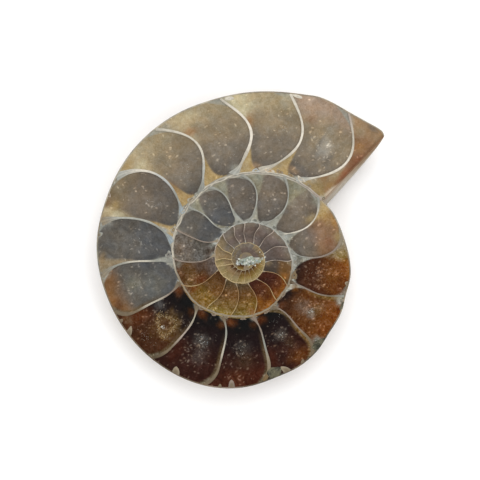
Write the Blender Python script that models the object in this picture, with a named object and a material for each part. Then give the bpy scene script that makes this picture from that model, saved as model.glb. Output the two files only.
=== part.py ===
"""Ammonite fossil half, sawn along the shell's middle plane and polished.

The coil is one solid: shell, septa and chamber fill are mineral grown into each other.
The sawn face is level on top. The rounded flank below it carries the umbilicus, and its
deepest ring is what the fossil lies on. The last whorl ends in a second, nearly upright cut.
Metres, +Z up, origin at the bottom centre of the fossil's box.
"""
import math

import bmesh
import bpy
from mathutils import Vector

# Driving dimensions, in metres and degrees
HALF_THICKNESS = 0.0094       # sawn face to the deepest ring of the flank
FLANK_RING = 0.0090           # umbilicus edge to that ring, along a cross-section
FLANK_FULLNESS = 2.4          # how long the flank stays deep before it rounds to the rim
PIT_DEPTH = 0.0048            # umbilicus floor above the deepest ring
MOUTH_LEAN = 7.0              # how far the cut across the last whorl leans outwards below
COIL_CENTRE = (0.00092, -0.00397)  # from the middle of the fossil's box

# Radius of the shell's rim from the coil's centre, every few degrees backwards in growth,
# counter-clockwise from +X: the beak, the straight edge beside it, and the last whorl.
RIM = (
    (41.7, 0.0373), (43.1, 0.0376), (49.0, 0.0367), (55.0, 0.0361), (65.0, 0.0358),
    (71.0, 0.0350), (78.0, 0.0343), (90.0, 0.0334), (102.0, 0.0327), (115.0, 0.0323),
    (137.0, 0.0314), (157.0, 0.0303), (175.0, 0.0298), (199.0, 0.0284), (229.0, 0.0272),
    (255.0, 0.0263), (269.0, 0.0255), (285.0, 0.0242), (297.0, 0.0239), (308.0, 0.0232),
    (319.0, 0.0222), (331.0, 0.0219), (341.0, 0.0212), (352.0, 0.0213), (372.0, 0.0203),
    (389.0, 0.0199), (397.7, 0.0194),
)

# How finely the solid is cut into facets
BEAK_ANGLES = (41.7, 42.3, 43.1)
WHORL_STEPS = 118
PIT_STEPS = 4
FLANK_STEPS = 13


def rim_radius(angle):
    """Radius of the rim at an angle in degrees, on a smooth curve through RIM."""
    last = len(RIM) - 2
    index = 0
    while index < last and RIM[index + 1][0] < angle:
        index += 1
    (a0, r0), (a1, r1) = RIM[index], RIM[index + 1]
    before = RIM[max(index - 1, 0)]
    after = RIM[min(index + 2, last + 1)]
    span = a1 - a0
    slope0 = (r1 - before[1]) / (a1 - before[0]) * span
    slope1 = (after[1] - r0) / (after[0] - a0) * span
    u = (angle - a0) / span
    return (
        (2 * u**3 - 3 * u**2 + 1) * r0
        + (u**3 - 2 * u**2 + u) * slope0
        + (3 * u**2 - 2 * u**3) * r1
        + (u**3 - u**2) * slope1
    )


def polar(radius, degrees):
    """A flat vector of the given length and direction."""
    return Vector((
        radius * math.cos(math.radians(degrees)),
        radius * math.sin(math.radians(degrees)),
        0.0,
    ))


def umbilicus_radius():
    """The circle about the coil's centre that the cut across the last whorl just touches."""
    beak = polar(RIM[0][1], RIM[0][0])
    joint = polar(RIM[-1][1], RIM[-1][0])
    return abs(beak.cross(joint).z) / (beak - joint).length


def section_profile(reach):
    """Points of the half whorl's back from the umbilicus to the rim, as (distance, depth)."""
    points = []
    for step in range(PIT_STEPS):
        share = step / PIT_STEPS
        points.append((share * FLANK_RING, HALF_THICKNESS - PIT_DEPTH * (1.0 - share) ** 2))
    for step in range(FLANK_STEPS + 1):
        share = math.sin(0.5 * math.pi * step / FLANK_STEPS)
        depth = HALF_THICKNESS * math.sqrt(max(1.0 - share**FLANK_FULLNESS, 0.0))
        points.append((FLANK_RING + share * (reach - FLANK_RING), depth))
    return points


def section_points(angle):
    """Cross-section of the shell whose rim lies at the given angle, as points in space."""
    core = umbilicus_radius()
    radius = rim_radius(angle)
    direction = angle + math.degrees(math.asin(core / radius))
    along = polar(1.0, direction)
    forward = polar(1.0, direction - 90.0)
    start = Vector((*COIL_CENTRE, HALF_THICKNESS)) + forward * core
    lean = math.tan(math.radians(MOUTH_LEAN))
    points = []
    for distance, depth in section_profile(math.sqrt(radius**2 - core**2)):
        points.append(start + along * distance + forward * (depth * lean) - Vector((0, 0, depth)))
    return points


def clear_scene():
    """Remove every object that the scene starts with."""
    for item in list(bpy.data.objects):
        bpy.data.objects.remove(item, do_unlink=True)


def fossil_material():
    """Polished brown calcite with iron staining."""
    material = bpy.data.materials.new("polished_calcite")
    material.use_nodes = True
    shader = material.node_tree.nodes["Principled BSDF"]
    shader.inputs["Base Color"].default_value = (0.22, 0.15, 0.09, 1.0)
    shader.inputs["Roughness"].default_value = 0.25
    shader.inputs["Metallic"].default_value = 0.0
    return material


def build_ammonite_half():
    """The whole fossil: sections strung round the coil, closed by the cuts and the pit's floor."""
    first, last = BEAK_ANGLES[-1], RIM[-1][0]
    angles = list(BEAK_ANGLES)
    angles += [first + (last - first) * step / WHORL_STEPS for step in range(1, WHORL_STEPS + 1)]

    shape = bmesh.new()
    rows = [[shape.verts.new(point) for point in section_points(angle)] for angle in angles]

    # The two ends of the whorl lie in one plane and share the pit as far as the deepest ring.
    for index in range(PIT_STEPS + 1):
        shape.verts.remove(rows[-1][index])
        rows[-1][index] = rows[0][index]

    for near, far in zip(rows, rows[1:]):
        for index in range(len(near) - 1):
            shape.faces.new((near[index], near[index + 1], far[index + 1], far[index]))

    # The sawn face and the pit's floor are fans about the coil's centre.
    face_centre = shape.verts.new((*COIL_CENTRE, HALF_THICKNESS))
    floor_centre = shape.verts.new((*COIL_CENTRE, PIT_DEPTH))
    for near, far in zip(rows, rows[1:]):
        shape.faces.new((near[-1], face_centre, far[-1]))
        shape.faces.new((near[0], far[0], floor_centre))
    shape.faces.new((rows[-1][-1], face_centre, rows[0][-1]))

    # The cut across the last whorl, a crescent between its own outline and the inner whorl's.
    shape.faces.new(rows[0][PIT_STEPS:] + rows[-1][:PIT_STEPS:-1])
    bmesh.ops.recalc_face_normals(shape, faces=shape.faces)

    mesh = bpy.data.meshes.new("ammonite_half")
    shape.to_mesh(mesh)
    shape.free()
    mesh.shade_smooth()
    mesh.set_sharp_from_angle(angle=math.radians(35.0))
    mesh.materials.append(fossil_material())
    bpy.context.collection.objects.link(bpy.data.objects.new("ammonite_half", mesh))


clear_scene()
build_ammonite_half()
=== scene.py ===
import math
import random

import bpy
import numpy as np
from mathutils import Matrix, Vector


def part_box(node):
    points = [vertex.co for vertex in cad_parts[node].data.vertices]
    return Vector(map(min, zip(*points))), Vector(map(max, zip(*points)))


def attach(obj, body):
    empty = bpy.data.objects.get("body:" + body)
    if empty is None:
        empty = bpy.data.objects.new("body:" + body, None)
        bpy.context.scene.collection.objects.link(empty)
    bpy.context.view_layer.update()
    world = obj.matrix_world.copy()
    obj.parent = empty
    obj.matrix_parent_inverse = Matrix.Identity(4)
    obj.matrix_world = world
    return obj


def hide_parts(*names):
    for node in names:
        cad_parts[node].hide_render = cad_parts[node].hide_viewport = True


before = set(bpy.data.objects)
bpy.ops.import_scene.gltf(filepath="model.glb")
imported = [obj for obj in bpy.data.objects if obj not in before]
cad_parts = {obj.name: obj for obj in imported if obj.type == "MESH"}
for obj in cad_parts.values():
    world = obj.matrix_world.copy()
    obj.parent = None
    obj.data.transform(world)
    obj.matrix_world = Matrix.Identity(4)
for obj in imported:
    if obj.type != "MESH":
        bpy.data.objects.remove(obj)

bpy.ops.object.select_all(action="DESELECT")
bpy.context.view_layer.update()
lowest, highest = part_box("ammonite_half")

# ---------------------------------------------------------------------------------------------
# The table and the lights. The half lies on a sheet of white card under soft daylight that
# comes mostly from above its top edge, and is looked at from straight above.
# ---------------------------------------------------------------------------------------------
MM = 0.001
FRAME_WIDTH = 96.0 * MM
LENS, SENSOR = 85.0, 36.0
AIM = (-0.08 * MM, -0.07 * MM)
FLOOR_SIZE = 4.0
WORLD_STRENGTH = 0.485
# Softboxes as (bearing, elevation, distance, size, power), bearings counter-clockwise from +X
SOFTBOXES = (
    (84.0, 63.0, 1.1, 0.9, 7.3),
    (345.0, 48.0, 1.2, 0.8, 3.6),
    (184.0, 50.0, 1.2, 0.8, 2.6),
    (262.0, 58.0, 1.2, 0.8, 1.5),
)

bpy.ops.object.camera_add(rotation=(0.0, 0.0, 0.0))
camera = bpy.context.object
camera.data.lens = LENS
camera.data.sensor_width = SENSOR
camera.data.clip_start = 0.01
camera.location = (*AIM, highest.z + FRAME_WIDTH * LENS / SENSOR)
bpy.context.scene.camera = camera

bpy.ops.mesh.primitive_plane_add(size=FLOOR_SIZE, location=(0.0, 0.0, lowest.z))
floor = bpy.context.object
floor.name = "white_card"
card = bpy.data.materials.new("white_card")
card.use_nodes = True
card_shader = card.node_tree.nodes["Principled BSDF"]
card_shader.inputs["Base Color"].default_value = (0.95, 0.95, 0.952, 1.0)
card_shader.inputs["Roughness"].default_value = 0.9
card_shader.inputs["Specular IOR Level"].default_value = 0.1
floor.data.materials.append(card)

for bearing, elevation, distance, size, power in SOFTBOXES:
    flat = math.cos(math.radians(elevation)) * distance
    place = (
        flat * math.cos(math.radians(bearing)),
        flat * math.sin(math.radians(bearing)),
        math.sin(math.radians(elevation)) * distance,
    )
    turned = (0.0, math.radians(90.0 - elevation), math.radians(bearing))
    bpy.ops.object.light_add(type="AREA", location=place, rotation=turned)
    softbox = bpy.context.object
    softbox.data.shape = "DISK"
    softbox.data.size = size
    softbox.data.energy = power

world = bpy.data.worlds.new("daylight")
world.use_nodes = True
world.node_tree.nodes["Background"].inputs["Color"].default_value = (1.0, 1.0, 1.0, 1.0)
world.node_tree.nodes["Background"].inputs["Strength"].default_value = WORLD_STRENGTH
bpy.context.scene.world = world
bpy.context.scene.view_settings.view_transform = "Standard"

# ---------------------------------------------------------------------------------------------
# The shell's back: the rounded flank of the last whorl and the narrow umbilicus. It is thin
# aragonite shell, cream and brown, with low curved ribs and growth lines, worn in places down
# to the calcite below. Its sawn lip shows as a pale line round the polished face.
# ---------------------------------------------------------------------------------------------
COIL_CENTRE = (0.92 * MM, -3.97 * MM)
FACE = highest.z
FLANK_RING = 9.0 * MM
FLANK_FULLNESS = 2.4
PIT_DEPTH = 4.8 * MM
MOUTH_LEAN = 10.0
RECESS = 0.16 * MM
LIP_WIDTH = 0.26 * MM
# The lip's tone where the saw went through the shell, by turn
LIP_TONES = (
    (45, "taupe"), (84, "taupe"), (96, "hay"), (150, "hay"), (165, "taupe"), (177, "olive"),
    (201, "hazel"), (213, "hazel"), (225, "drab"), (237, "drab"), (249, "hazel"), (261, "fog"),
    (273, "drab"), (285, "moss"), (297, "hazel"), (309, "moss"), (321, "drab"), (333, "taupe"),
    (345, "hazel"), (369, "taupe"), (381, "hay"), (395, "khaki"),
)
# The lip from the flank inwards: how far in from the rim and how far below the face
LIP_PROFILE = (
    (0.0, 0.08 * MM), (0.06 * MM, 0.01 * MM), (LIP_WIDTH, 0.01 * MM), (LIP_WIDTH + 0.04 * MM, RECESS),
)
RIB_DEPTH = 0.16 * MM
RIB_PERIOD, RIB_SWAY, RIB_SWEEP = 7.2, 9.0, 14.0  # Along the coil, in degrees
PIT_STEP = 0.35 * MM
SHELL_COLUMNS, PIT_ROWS, FLANK_ROWS, LIP_ROWS = 480, 10, 34, len(LIP_PROFILE) - 1
MERGE_GAP = 1e-7  # Vertices closer than this are one

# The outer wall of the coil as (turn, radius in mm). The turn runs backwards in growth, from the
# beak in to the first chamber, in degrees counter-clockwise from +X.
COIL = (
    (41.7, 37.3), (43.1, 37.6), (49, 36.7), (55, 36.1), (65, 35.8), (71, 35.0), (78, 34.3),
    (90, 33.4), (102, 32.63), (115, 32.22), (137, 31.32), (157, 30.3), (175, 29.8), (199, 28.4),
    (229, 27.2), (255, 26.4), (269, 25.62), (285, 24.38), (297, 24.0), (308, 23.34), (319, 22.35),
    (331, 22.0), (341, 21.36), (352, 21.35), (372, 20.3), (389, 19.9), (397.7, 19.4),
    (410, 19.0), (425, 18.5), (446, 17.3), (471, 16.4), (502, 15.4), (532, 14.7), (557, 13.9),
    (582, 13.4), (610, 12.2), (651, 11.3), (676, 10.35), (710, 9.7), (754, 8.5), (805, 7.45),
    (862, 6.55), (916, 5.8), (987, 4.85), (1042, 4.3), (1101, 3.85), (1158, 3.47), (1208, 3.08),
    (1261, 2.66), (1331, 2.26), (1420, 1.85), (1540, 1.4), (1700, 0.95),
)
JOINT_TURN = 397.7
BEAK_TURN = COIL[0][0]


def coil_radius(turn):
    """Radius of the outer wall at a turn, in metres, on a smooth curve through COIL."""
    turns, radii = np.array(COIL, dtype=float).T
    turn = np.clip(np.asarray(turn, dtype=float), turns[0], turns[-1])
    slopes = np.empty(len(turns))
    slopes[1:-1] = (radii[2:] - radii[:-2]) / (turns[2:] - turns[:-2])
    slopes[0] = (radii[1] - radii[0]) / (turns[1] - turns[0])
    slopes[-1] = (radii[-1] - radii[-2]) / (turns[-1] - turns[-2])
    index = np.clip(np.searchsorted(turns, turn) - 1, 0, len(turns) - 2)
    span = turns[index + 1] - turns[index]
    u = (turn - turns[index]) / span
    return MM * (
        (2 * u**3 - 3 * u**2 + 1) * radii[index]
        + (u**3 - 2 * u**2 + u) * span * slopes[index]
        + (3 * u**2 - 2 * u**3) * radii[index + 1]
        + (u**3 - u**2) * span * slopes[index + 1]
    )


def ramp(value, start, end):
    """0 before start, 1 past end, smooth between; start may be the larger."""
    share = np.clip((np.asarray(value, dtype=float) - start) / (end - start), 0.0, 1.0)
    return share * share * (3.0 - 2.0 * share)


def mouth_line(share):
    """Points of the cut across the last whorl, from the joint to the beak, as x and y."""
    near, far = math.radians(JOINT_TURN), math.radians(BEAK_TURN)
    start = coil_radius(JOINT_TURN) * np.array((math.cos(near), math.sin(near)))
    end = coil_radius(BEAK_TURN) * np.array((math.cos(far), math.sin(far)))
    return (
        COIL_CENTRE[0] + start[0] + (end[0] - start[0]) * share,
        COIL_CENTRE[1] + start[1] + (end[1] - start[1]) * share,
    )


beak_x, beak_y = (value - centre for value, centre in zip(mouth_line(1.0), COIL_CENTRE))
joint_x, joint_y = (value - centre for value, centre in zip(mouth_line(0.0), COIL_CENTRE))
UMBILICUS = abs(beak_x * joint_y - beak_y * joint_x) / math.hypot(beak_x - joint_x, beak_y - joint_y)


def section_place(turn, distance, depth):
    """Points of the shell's cross-section at a turn, leaning as the cut at the mouth does."""
    direction = np.radians(turn) + np.arcsin(UMBILICUS / coil_radius(turn))
    ahead = direction - 0.5 * math.pi
    forward = UMBILICUS + depth * math.tan(math.radians(MOUTH_LEAN))
    return np.column_stack((
        COIL_CENTRE[0] + np.cos(direction) * distance + np.cos(ahead) * forward,
        COIL_CENTRE[1] + np.sin(direction) * distance + np.sin(ahead) * forward,
        FACE - depth,
    ))


def section_reach(turn):
    """Distance from the coil's axis line out to the rim, along the cross-section."""
    return np.sqrt(coil_radius(turn) ** 2 - UMBILICUS**2)


def add_grid(name, columns, rows):
    """A new flat grid, and its vertices' places across it as two runs from 0 to 1."""
    bpy.ops.object.select_all(action="DESELECT")
    bpy.ops.mesh.primitive_grid_add(x_subdivisions=columns, y_subdivisions=rows, size=1.0)
    piece = bpy.context.object
    piece.name = name
    piece.data.name = name
    places = np.empty(len(piece.data.vertices) * 3)
    piece.data.vertices.foreach_get("co", places)
    places = places.reshape(-1, 3)[:, :2] + 0.5
    return piece, places[:, 0], places[:, 1]


def store(piece, name, values, kind="FLOAT_COLOR"):
    """Keeps a colour or a number at each vertex of a piece."""
    layer = piece.data.attributes.new(name, kind, "POINT")
    if kind == "FLOAT_COLOR":
        values = np.column_stack((values, np.ones(len(values))))
        layer.data.foreach_set("color", values.ravel())
    else:
        layer.data.foreach_set("value", values)


def paint(red, green, blue):
    """A colour given as it looks on a chart, from 0 to 255, as linear light."""
    values = np.array((red, green, blue)) / 255.0
    return tuple(np.where(values < 0.04045, values / 12.92, ((values + 0.055) / 1.055) ** 2.4))


# The calcites and stains, as they look in daylight from 0 to 255
MINERALS = {
    "amber": (158, 130, 98), "copper": (140, 104, 76), "honey": (164, 142, 100), "rose": (165, 143, 122),
    "clay": (130, 119, 104), "fawn": (146, 131, 107), "khaki": (165, 150, 120), "straw": (192, 180, 146),
    "dusk": (110, 102, 93), "putty": (120, 109, 96), "stone": (100, 96, 90), "slate": (90, 90, 90),
    "olive": (137, 134, 117), "mist": (150, 150, 140), "rust": (124, 92, 62), "walnut": (67, 40, 24),
    "umber": (51, 28, 16), "soot": (32, 22, 16), "pitch": (20, 15, 13), "ember": (96, 54, 24),
    "sienna": (112, 64, 22), "tawny": (136, 88, 34), "russet": (98, 58, 24), "chestnut": (73, 41, 22),
    "coffee": (40, 27, 20), "gold": (143, 122, 72), "bronze": (121, 94, 47), "brass": (102, 70, 35),
    "bark": (85, 57, 32), "oxblood": (90, 48, 22), "garnet": (68, 34, 16), "mauve": (110, 96, 88),
    "plum": (101, 90, 84), "dove": (119, 109, 98), "biscuit": (130, 114, 89), "wheat": (151, 134, 96),
    "sand": (140, 119, 88), "ginger": (152, 106, 62), "brick": (142, 86, 58), "pearl": (176, 176, 166),
    "ochre": (124, 98, 58), "moss": (54, 57, 44), "bone": (232, 223, 206), "frost": (186, 188, 184),
    "drab": (92, 76, 52), "sky": (160, 172, 176), "cream": (214, 206, 188), "shell": (196, 188, 170),
    "blush": (176, 160, 146), "taupe": (150, 136, 112), "hazel": (120, 104, 80), "amberine": (168, 128, 70),
    "fog": (142, 126, 112), "verdigris": (146, 156, 138), "white": (224, 226, 216),
    "buff": (158, 122, 78), "parchment": (186, 162, 114), "tan": (160, 116, 80),
    "hay": (172, 164, 144), "mushroom": (196, 175, 152), "oat": (200, 190, 172), "linen": (214, 204, 188),
    "sage": (128, 124, 104), "peat": (80, 70, 62), "cinnamon": (106, 78, 48), "nougat": (142, 112, 86),
}
DAYLIGHT = 1.38  # How bright a white face looks under the lights
SHEEN = 0.004  # What the polish adds to every colour


def coat(red, green, blue):
    """A chart colour as a node takes it."""
    return (*paint(red, green, blue), 1.0)


def mineral(name):
    """A mineral's colour, less what the lights and the polish add to it."""
    return np.maximum(np.array(paint(*MINERALS[name])) / DAYLIGHT - SHEEN, 0.002)


def along_coil(stages, turn):
    """Colours along the coil, blended from one named stage to the next."""
    tones = np.array([mineral(name) for place, name in stages])
    turns = [place for place, name in stages]
    return np.column_stack([np.interp(turn, turns, tones[:, part]) for part in range(3)])


shell_rows = PIT_ROWS + FLANK_ROWS + LIP_ROWS
shell_back, across_turns, down_profile = add_grid("shell_back", SHELL_COLUMNS, shell_rows)
turn = BEAK_TURN + (JOINT_TURN - BEAK_TURN) * across_turns
row = np.round(down_profile * shell_rows)
reach = section_reach(turn)
pit_share = np.clip(row / PIT_ROWS, 0.0, 1.0)
flank_share = np.sin(0.5 * math.pi * np.clip((row - PIT_ROWS) / FLANK_ROWS, 0.0, 1.0))

rib_wave = (turn + RIB_SWAY * np.sin(flank_share * 5.0) - RIB_SWEEP * flank_share**3) / RIB_PERIOD
groove = 0.5 - 0.5 * np.cos(2.0 * math.pi * rib_wave)
fine_groove = 0.5 - 0.5 * np.cos(2.0 * math.pi * rib_wave * 3.0)
carving = RIB_DEPTH * (0.75 * groove**2 + 0.25 * fine_groove) * ramp(flank_share, 0.0, 0.35)
carving *= ramp(flank_share, 1.0, 0.93)
thickness = FACE - lowest.z
flank_depth = thickness * np.sqrt(np.clip(1.0 - flank_share**FLANK_FULLNESS, 0.0, 1.0))
flank_depth = np.maximum(flank_depth - carving * np.clip(flank_depth / thickness, 0.0, 1.0), 0.0)
# Inner whorls show in the umbilicus as a low spiral step.
pit_step = ((np.log(pit_share + 0.35) * 2.2 + turn / 360.0) % 1.0) ** 3 * PIT_STEP
pit_step *= ramp(pit_share, 0.0, 0.2) * ramp(pit_share, 1.0, 0.8)
pit_depth = thickness - PIT_DEPTH * (1.0 - pit_share) ** 2 - pit_step
in_pit = row < PIT_ROWS
distance = np.where(in_pit, pit_share * FLANK_RING, FLANK_RING + flank_share * (reach - FLANK_RING))
distance = distance - np.where(in_pit, 0.0, 0.7 * carving * flank_share**3)
depth = np.where(in_pit, pit_depth, flank_depth)
lip = row - PIT_ROWS - FLANK_ROWS
for lip_row, (inset, sunk) in enumerate(LIP_PROFILE):
    distance = np.where(lip == lip_row, reach - inset, distance)
    depth = np.where(lip == lip_row, sunk, depth)
shell_back.data.vertices.foreach_set("co", section_place(turn, distance, depth).ravel())
store(shell_back, "growth", np.column_stack((rib_wave, np.where(in_pit, 0.0, flank_share), groove)))
store(shell_back, "whorl", turn, "FLOAT")
store(shell_back, "lip", (lip >= 0).astype(float), "FLOAT")
store(shell_back, "lip_tone", along_coil(LIP_TONES, turn))

# An edge from the beak to the joint parts the floor under the face from the cut at the mouth.
bpy.ops.object.mode_set(mode="EDIT")
bpy.ops.mesh.select_all(action="DESELECT")
bpy.ops.object.mode_set(mode="OBJECT")
for corner in np.flatnonzero((lip == LIP_ROWS) & (np.abs(across_turns - 0.5) > 0.4999)):
    shell_back.data.vertices[corner].select = True
bpy.ops.object.mode_set(mode="EDIT")
bpy.ops.mesh.edge_face_add()
bpy.ops.mesh.select_all(action="SELECT")
bpy.ops.mesh.remove_doubles(threshold=MERGE_GAP)
bpy.ops.mesh.select_all(action="DESELECT")
bpy.ops.mesh.select_non_manifold()
bpy.ops.mesh.fill_holes(sides=0)
bpy.ops.mesh.select_all(action="SELECT")
bpy.ops.mesh.normals_make_consistent(inside=False)
bpy.ops.object.mode_set(mode="OBJECT")
bpy.ops.object.shade_smooth_by_angle(angle=math.radians(35.0))


def node(tree, kind, inputs=None, **settings):
    """Adds a node. Inputs are values, or sockets that are linked, by name or number."""
    made = tree.nodes.new(kind)
    for key, value in settings.items():
        setattr(made, key, value)
    for key, value in (inputs or {}).items():
        if isinstance(value, bpy.types.NodeSocket):
            tree.links.new(value, made.inputs[key])
        else:
            made.inputs[key].default_value = value
    return made


def number(tree, operation, *values):
    """A Math node's output."""
    return node(tree, "ShaderNodeMath", dict(enumerate(values)), operation=operation).outputs[0]


def fade(tree, value, start, end, low=0.0, high=1.0):
    """A smooth step of a value between start and end."""
    made = node(
        tree, "ShaderNodeMapRange", {0: value, 1: start, 2: end, 3: low, 4: high},
        interpolation_type="SMOOTHSTEP",
    )
    return made.outputs[0]


def mix(tree, factor, first, second, blend="MIX"):
    """One colour laid over another."""
    made = node(
        tree, "ShaderNodeMix", {0: factor, 6: first, 7: second}, data_type="RGBA", blend_type=blend
    )
    return made.outputs[2]


def grey_of(tree, value):
    """A grey as bright as a value."""
    return node(tree, "ShaderNodeCombineColor", {0: value, 1: value, 2: value}).outputs[0]


def centred(tree, value):
    """Noise that lies round 0.5, made to lie round 0."""
    return number(tree, "SUBTRACT", value, 0.5)


def stored(tree, name, output="Color"):
    """What a piece keeps at its vertices, as its material reads it."""
    return node(tree, "ShaderNodeAttribute", attribute_name=name).outputs[output]


def roughen(tree, shader, height, strength, distance=0.05 * MM):
    """Makes a surface look uneven."""
    bump = node(tree, "ShaderNodeBump", {"Height": height, "Strength": strength, "Distance": distance})
    tree.links.new(bump.outputs[0], shader.inputs["Normal"])


def finish(name, roughness, specular):
    """A new material, with its tree and its shader."""
    material = bpy.data.materials.new(name)
    material.use_nodes = True
    shader = material.node_tree.nodes["Principled BSDF"]
    shader.inputs["Roughness"].default_value = roughness
    shader.inputs["Specular IOR Level"].default_value = specular
    return material, material.node_tree, shader


def noise(tree, place, scale, detail=3.0, roughness=0.55, stretch=None, warp=0.0):
    """Cloudy noise on the stone's own coordinates; its value lies round 0.5."""
    if stretch is not None:
        place = node(tree, "ShaderNodeMapping", {"Vector": place, "Scale": stretch}).outputs[0]
    made = node(tree, "ShaderNodeTexNoise", {
        "Vector": place, "Scale": scale, "Detail": detail, "Roughness": roughness,
        "Distortion": warp,
    })
    return made.outputs["Fac"]


def mottling_group():
    """A colour made lighter and darker by fine noise on the stone's own coordinates."""
    group = bpy.data.node_groups.new("mottling", "ShaderNodeTree")
    group.interface.new_socket("Color", in_out="INPUT", socket_type="NodeSocketColor")
    group.interface.new_socket("Scale", in_out="INPUT", socket_type="NodeSocketFloat")
    group.interface.new_socket("Strength", in_out="INPUT", socket_type="NodeSocketFloat")
    group.interface.new_socket("Color", in_out="OUTPUT", socket_type="NodeSocketColor")
    group.interface.new_socket("Height", in_out="OUTPUT", socket_type="NodeSocketFloat")
    given = group.nodes.new("NodeGroupInput").outputs
    result = group.nodes.new("NodeGroupOutput")
    place = node(group, "ShaderNodeTexCoord").outputs["Object"]
    height = noise(group, place, given["Scale"], 3.0, 0.6)
    tone = number(group, "MULTIPLY_ADD", centred(group, height), given["Strength"], 1.0)
    toned = mix(group, 1.0, given["Color"], grey_of(group, tone), "MULTIPLY")
    group.links.new(toned, result.inputs["Color"])
    group.links.new(height, result.inputs["Height"])
    return group


MOTTLING = mottling_group()


def mottled(tree, colour, scale, strength):
    """The mottled colour and the noise's height."""
    made = tree.nodes.new("ShaderNodeGroup")
    made.node_tree = MOTTLING
    if isinstance(colour, bpy.types.NodeSocket):
        tree.links.new(colour, made.inputs["Color"])
    else:
        made.inputs["Color"].default_value = colour
    made.inputs["Scale"].default_value = scale
    made.inputs["Strength"].default_value = strength
    return made.outputs["Color"], made.outputs["Height"]


shell_material, tree, shader = finish("aragonite_shell", 0.42, 0.4)
place = node(tree, "ShaderNodeTexCoord").outputs["Object"]
growth = stored(tree, "growth")
lines = node(tree, "ShaderNodeSeparateColor", {0: growth})
striae = noise(tree, growth, 9.0, 4.0, 0.6, (1.0, 0.12, 0.0))
clouds = noise(tree, place, 110.0, 4.0, 0.6, warp=0.4)
blots = noise(tree, place, 260.0, 5.0, 0.65, warp=0.8)
grain = noise(tree, place, 2600.0, 3.0, 0.6)
base = mix(tree, fade(tree, clouds, 0.36, 0.62), coat(196, 176, 142), coat(150, 118, 82))
base = mix(tree, fade(tree, striae, 0.42, 0.66, 0.0, 0.6), base, coat(112, 84, 58))
base = mix(tree, fade(tree, blots, 0.56, 0.68, 0.0, 0.75), base, coat(92, 66, 46))
base = mix(tree, fade(tree, blots, 0.40, 0.28, 0.0, 0.7), base, coat(214, 206, 186))
base = mix(tree, fade(tree, grain, 0.3, 0.7, 0.0, 0.25), base, coat(90, 76, 60))
# Worn to the calcite, the flank shows the edges of the chamber walls as crimped brown lines.
crimp = noise(tree, place, 420.0, 4.0, 0.7)
whorl = stored(tree, "whorl", "Fac")
wander = number(tree, "MULTIPLY_ADD", crimp, 15.0, whorl)
folds = number(tree, "SINE", number(tree, "MULTIPLY", lines.outputs[1], 34.0))
wander = number(tree, "MULTIPLY_ADD", folds, 3.0, wander)
seam = number(tree, "PINGPONG", wander, 12.0)
worn = number(tree, "MULTIPLY", fade(tree, seam, 0.9, 0.3), fade(tree, clouds, 0.44, 0.56))
base = mix(tree, number(tree, "MULTIPLY", worn, 0.7), base, coat(74, 50, 34))
edge = stored(tree, "lip", "Fac")
lip_tone = stored(tree, "lip_tone")
lip_tone = mottled(tree, lip_tone, 520.0, 1.9)[0]
base = mix(tree, edge, base, lip_tone)
tree.links.new(base, shader.inputs["Base Color"])
relief = number(tree, "MULTIPLY_ADD", striae, 0.7, number(tree, "MULTIPLY", grain, 0.3))
roughen(tree, shader, relief, 0.35, 0.12 * MM)
tree.links.new(fade(tree, clouds, 0.3, 0.7, 0.34, 0.52), shader.inputs["Roughness"])
shell_back.data.materials.append(shell_material)


def hand_in(piece):
    """The piece moves with the stone and stands for its solid."""
    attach(piece, "root")
    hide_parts("ammonite_half")


hand_in(shell_back)

# ---------------------------------------------------------------------------------------------
# The fill of the chambers: calcite that grew in each chamber of the shell, clear enough to look
# dark where it is thick, stained by iron and clay, ground flat and polished. Each chamber is a
# tile of its own between two septa.
# ---------------------------------------------------------------------------------------------
# The turn of each septum at the inner wall, a quarter, half and three quarters out, and the rim
SEPTA = (
    (57.0, 46.0, 43.8, 48.0, 55.0), (79.5, 67.0, 65.2, 69.3, 75.0),
    (96.0, 89.3, 87.2, 92.0, 99.0), (122.0, 114.0, 112.0, 116.7, 125.0),
    (144.0, 136.3, 135.5, 139.3, 148.5), (166.5, 159.3, 159.2, 161.6, 165.5),
    (181.0, 181.0, 181.0, 182.6, 187.0), (199.0, 204.8, 205.1, 205.5, 201.0),
    (223.5, 230.0, 230.5, 229.8, 226.0), (248.5, 256.0, 256.5, 256.3, 251.5),
    (277.5, 282.7, 283.0, 283.0, 278.0), (300.0, 307.3, 307.9, 308.8, 304.0),
    (333.5, 334.6, 334.7, 336.9, 340.0), (369.5, 362.0, 362.0, 365.5, 374.5),
    (396.5, 388.5, 387.8, 392.0, 400.5), (421.5, 413.0, 412.6, 417.4, 425.0),
    (445.0, 439.0, 439.0, 443.0, 453.0), (461.5, 464.1, 465.4, 468.8, 477.0),
    (480.5, 491.0, 491.9, 494.0, 497.0), (504.0, 516.0, 517.5, 517.2, 516.0),
    (531.0, 541.3, 543.0, 542.0, 538.5), (561.0, 567.0, 569.0, 567.0, 561.5),
    (586.5, 593.5, 595.0, 592.7, 593.0), (609.0, 618.6, 620.5, 618.5, 614.0),
    (637.0, 644.0, 646.5, 643.3, 637.5), (661.0, 669.0, 671.0, 668.5, 669.0),
    (686.5, 693.5, 695.5, 693.0, 687.0), (712.5, 718.0, 718.6, 717.5, 720.0),
    (736.5, 741.0, 742.8, 740.0, 736.0), (761.5, 764.8, 766.7, 765.2, 765.5),
    (782.0, 787.0, 789.0, 786.7, 789.0), (808.5, 810.8, 812.5, 811.0, 811.0),
    (828.0, 831.3, 833.2, 830.5, 829.6), (854.0, 855.4, 856.3, 854.5, 851.0),
    (879.0, 876.9, 877.0, 874.0, 872.0), (900.0, 898.5, 897.7, 900.0, 901.0),
    (920.5, 917.5, 916.0, 914.8, 913.0),
)
FIRST_WHORLS_START, FIRST_WHORLS_STEP, FIRST_WHORLS_COUNT = 934.0, 18.5, 24
STATIONS = np.linspace(0.0, 1.0, 5)

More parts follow.
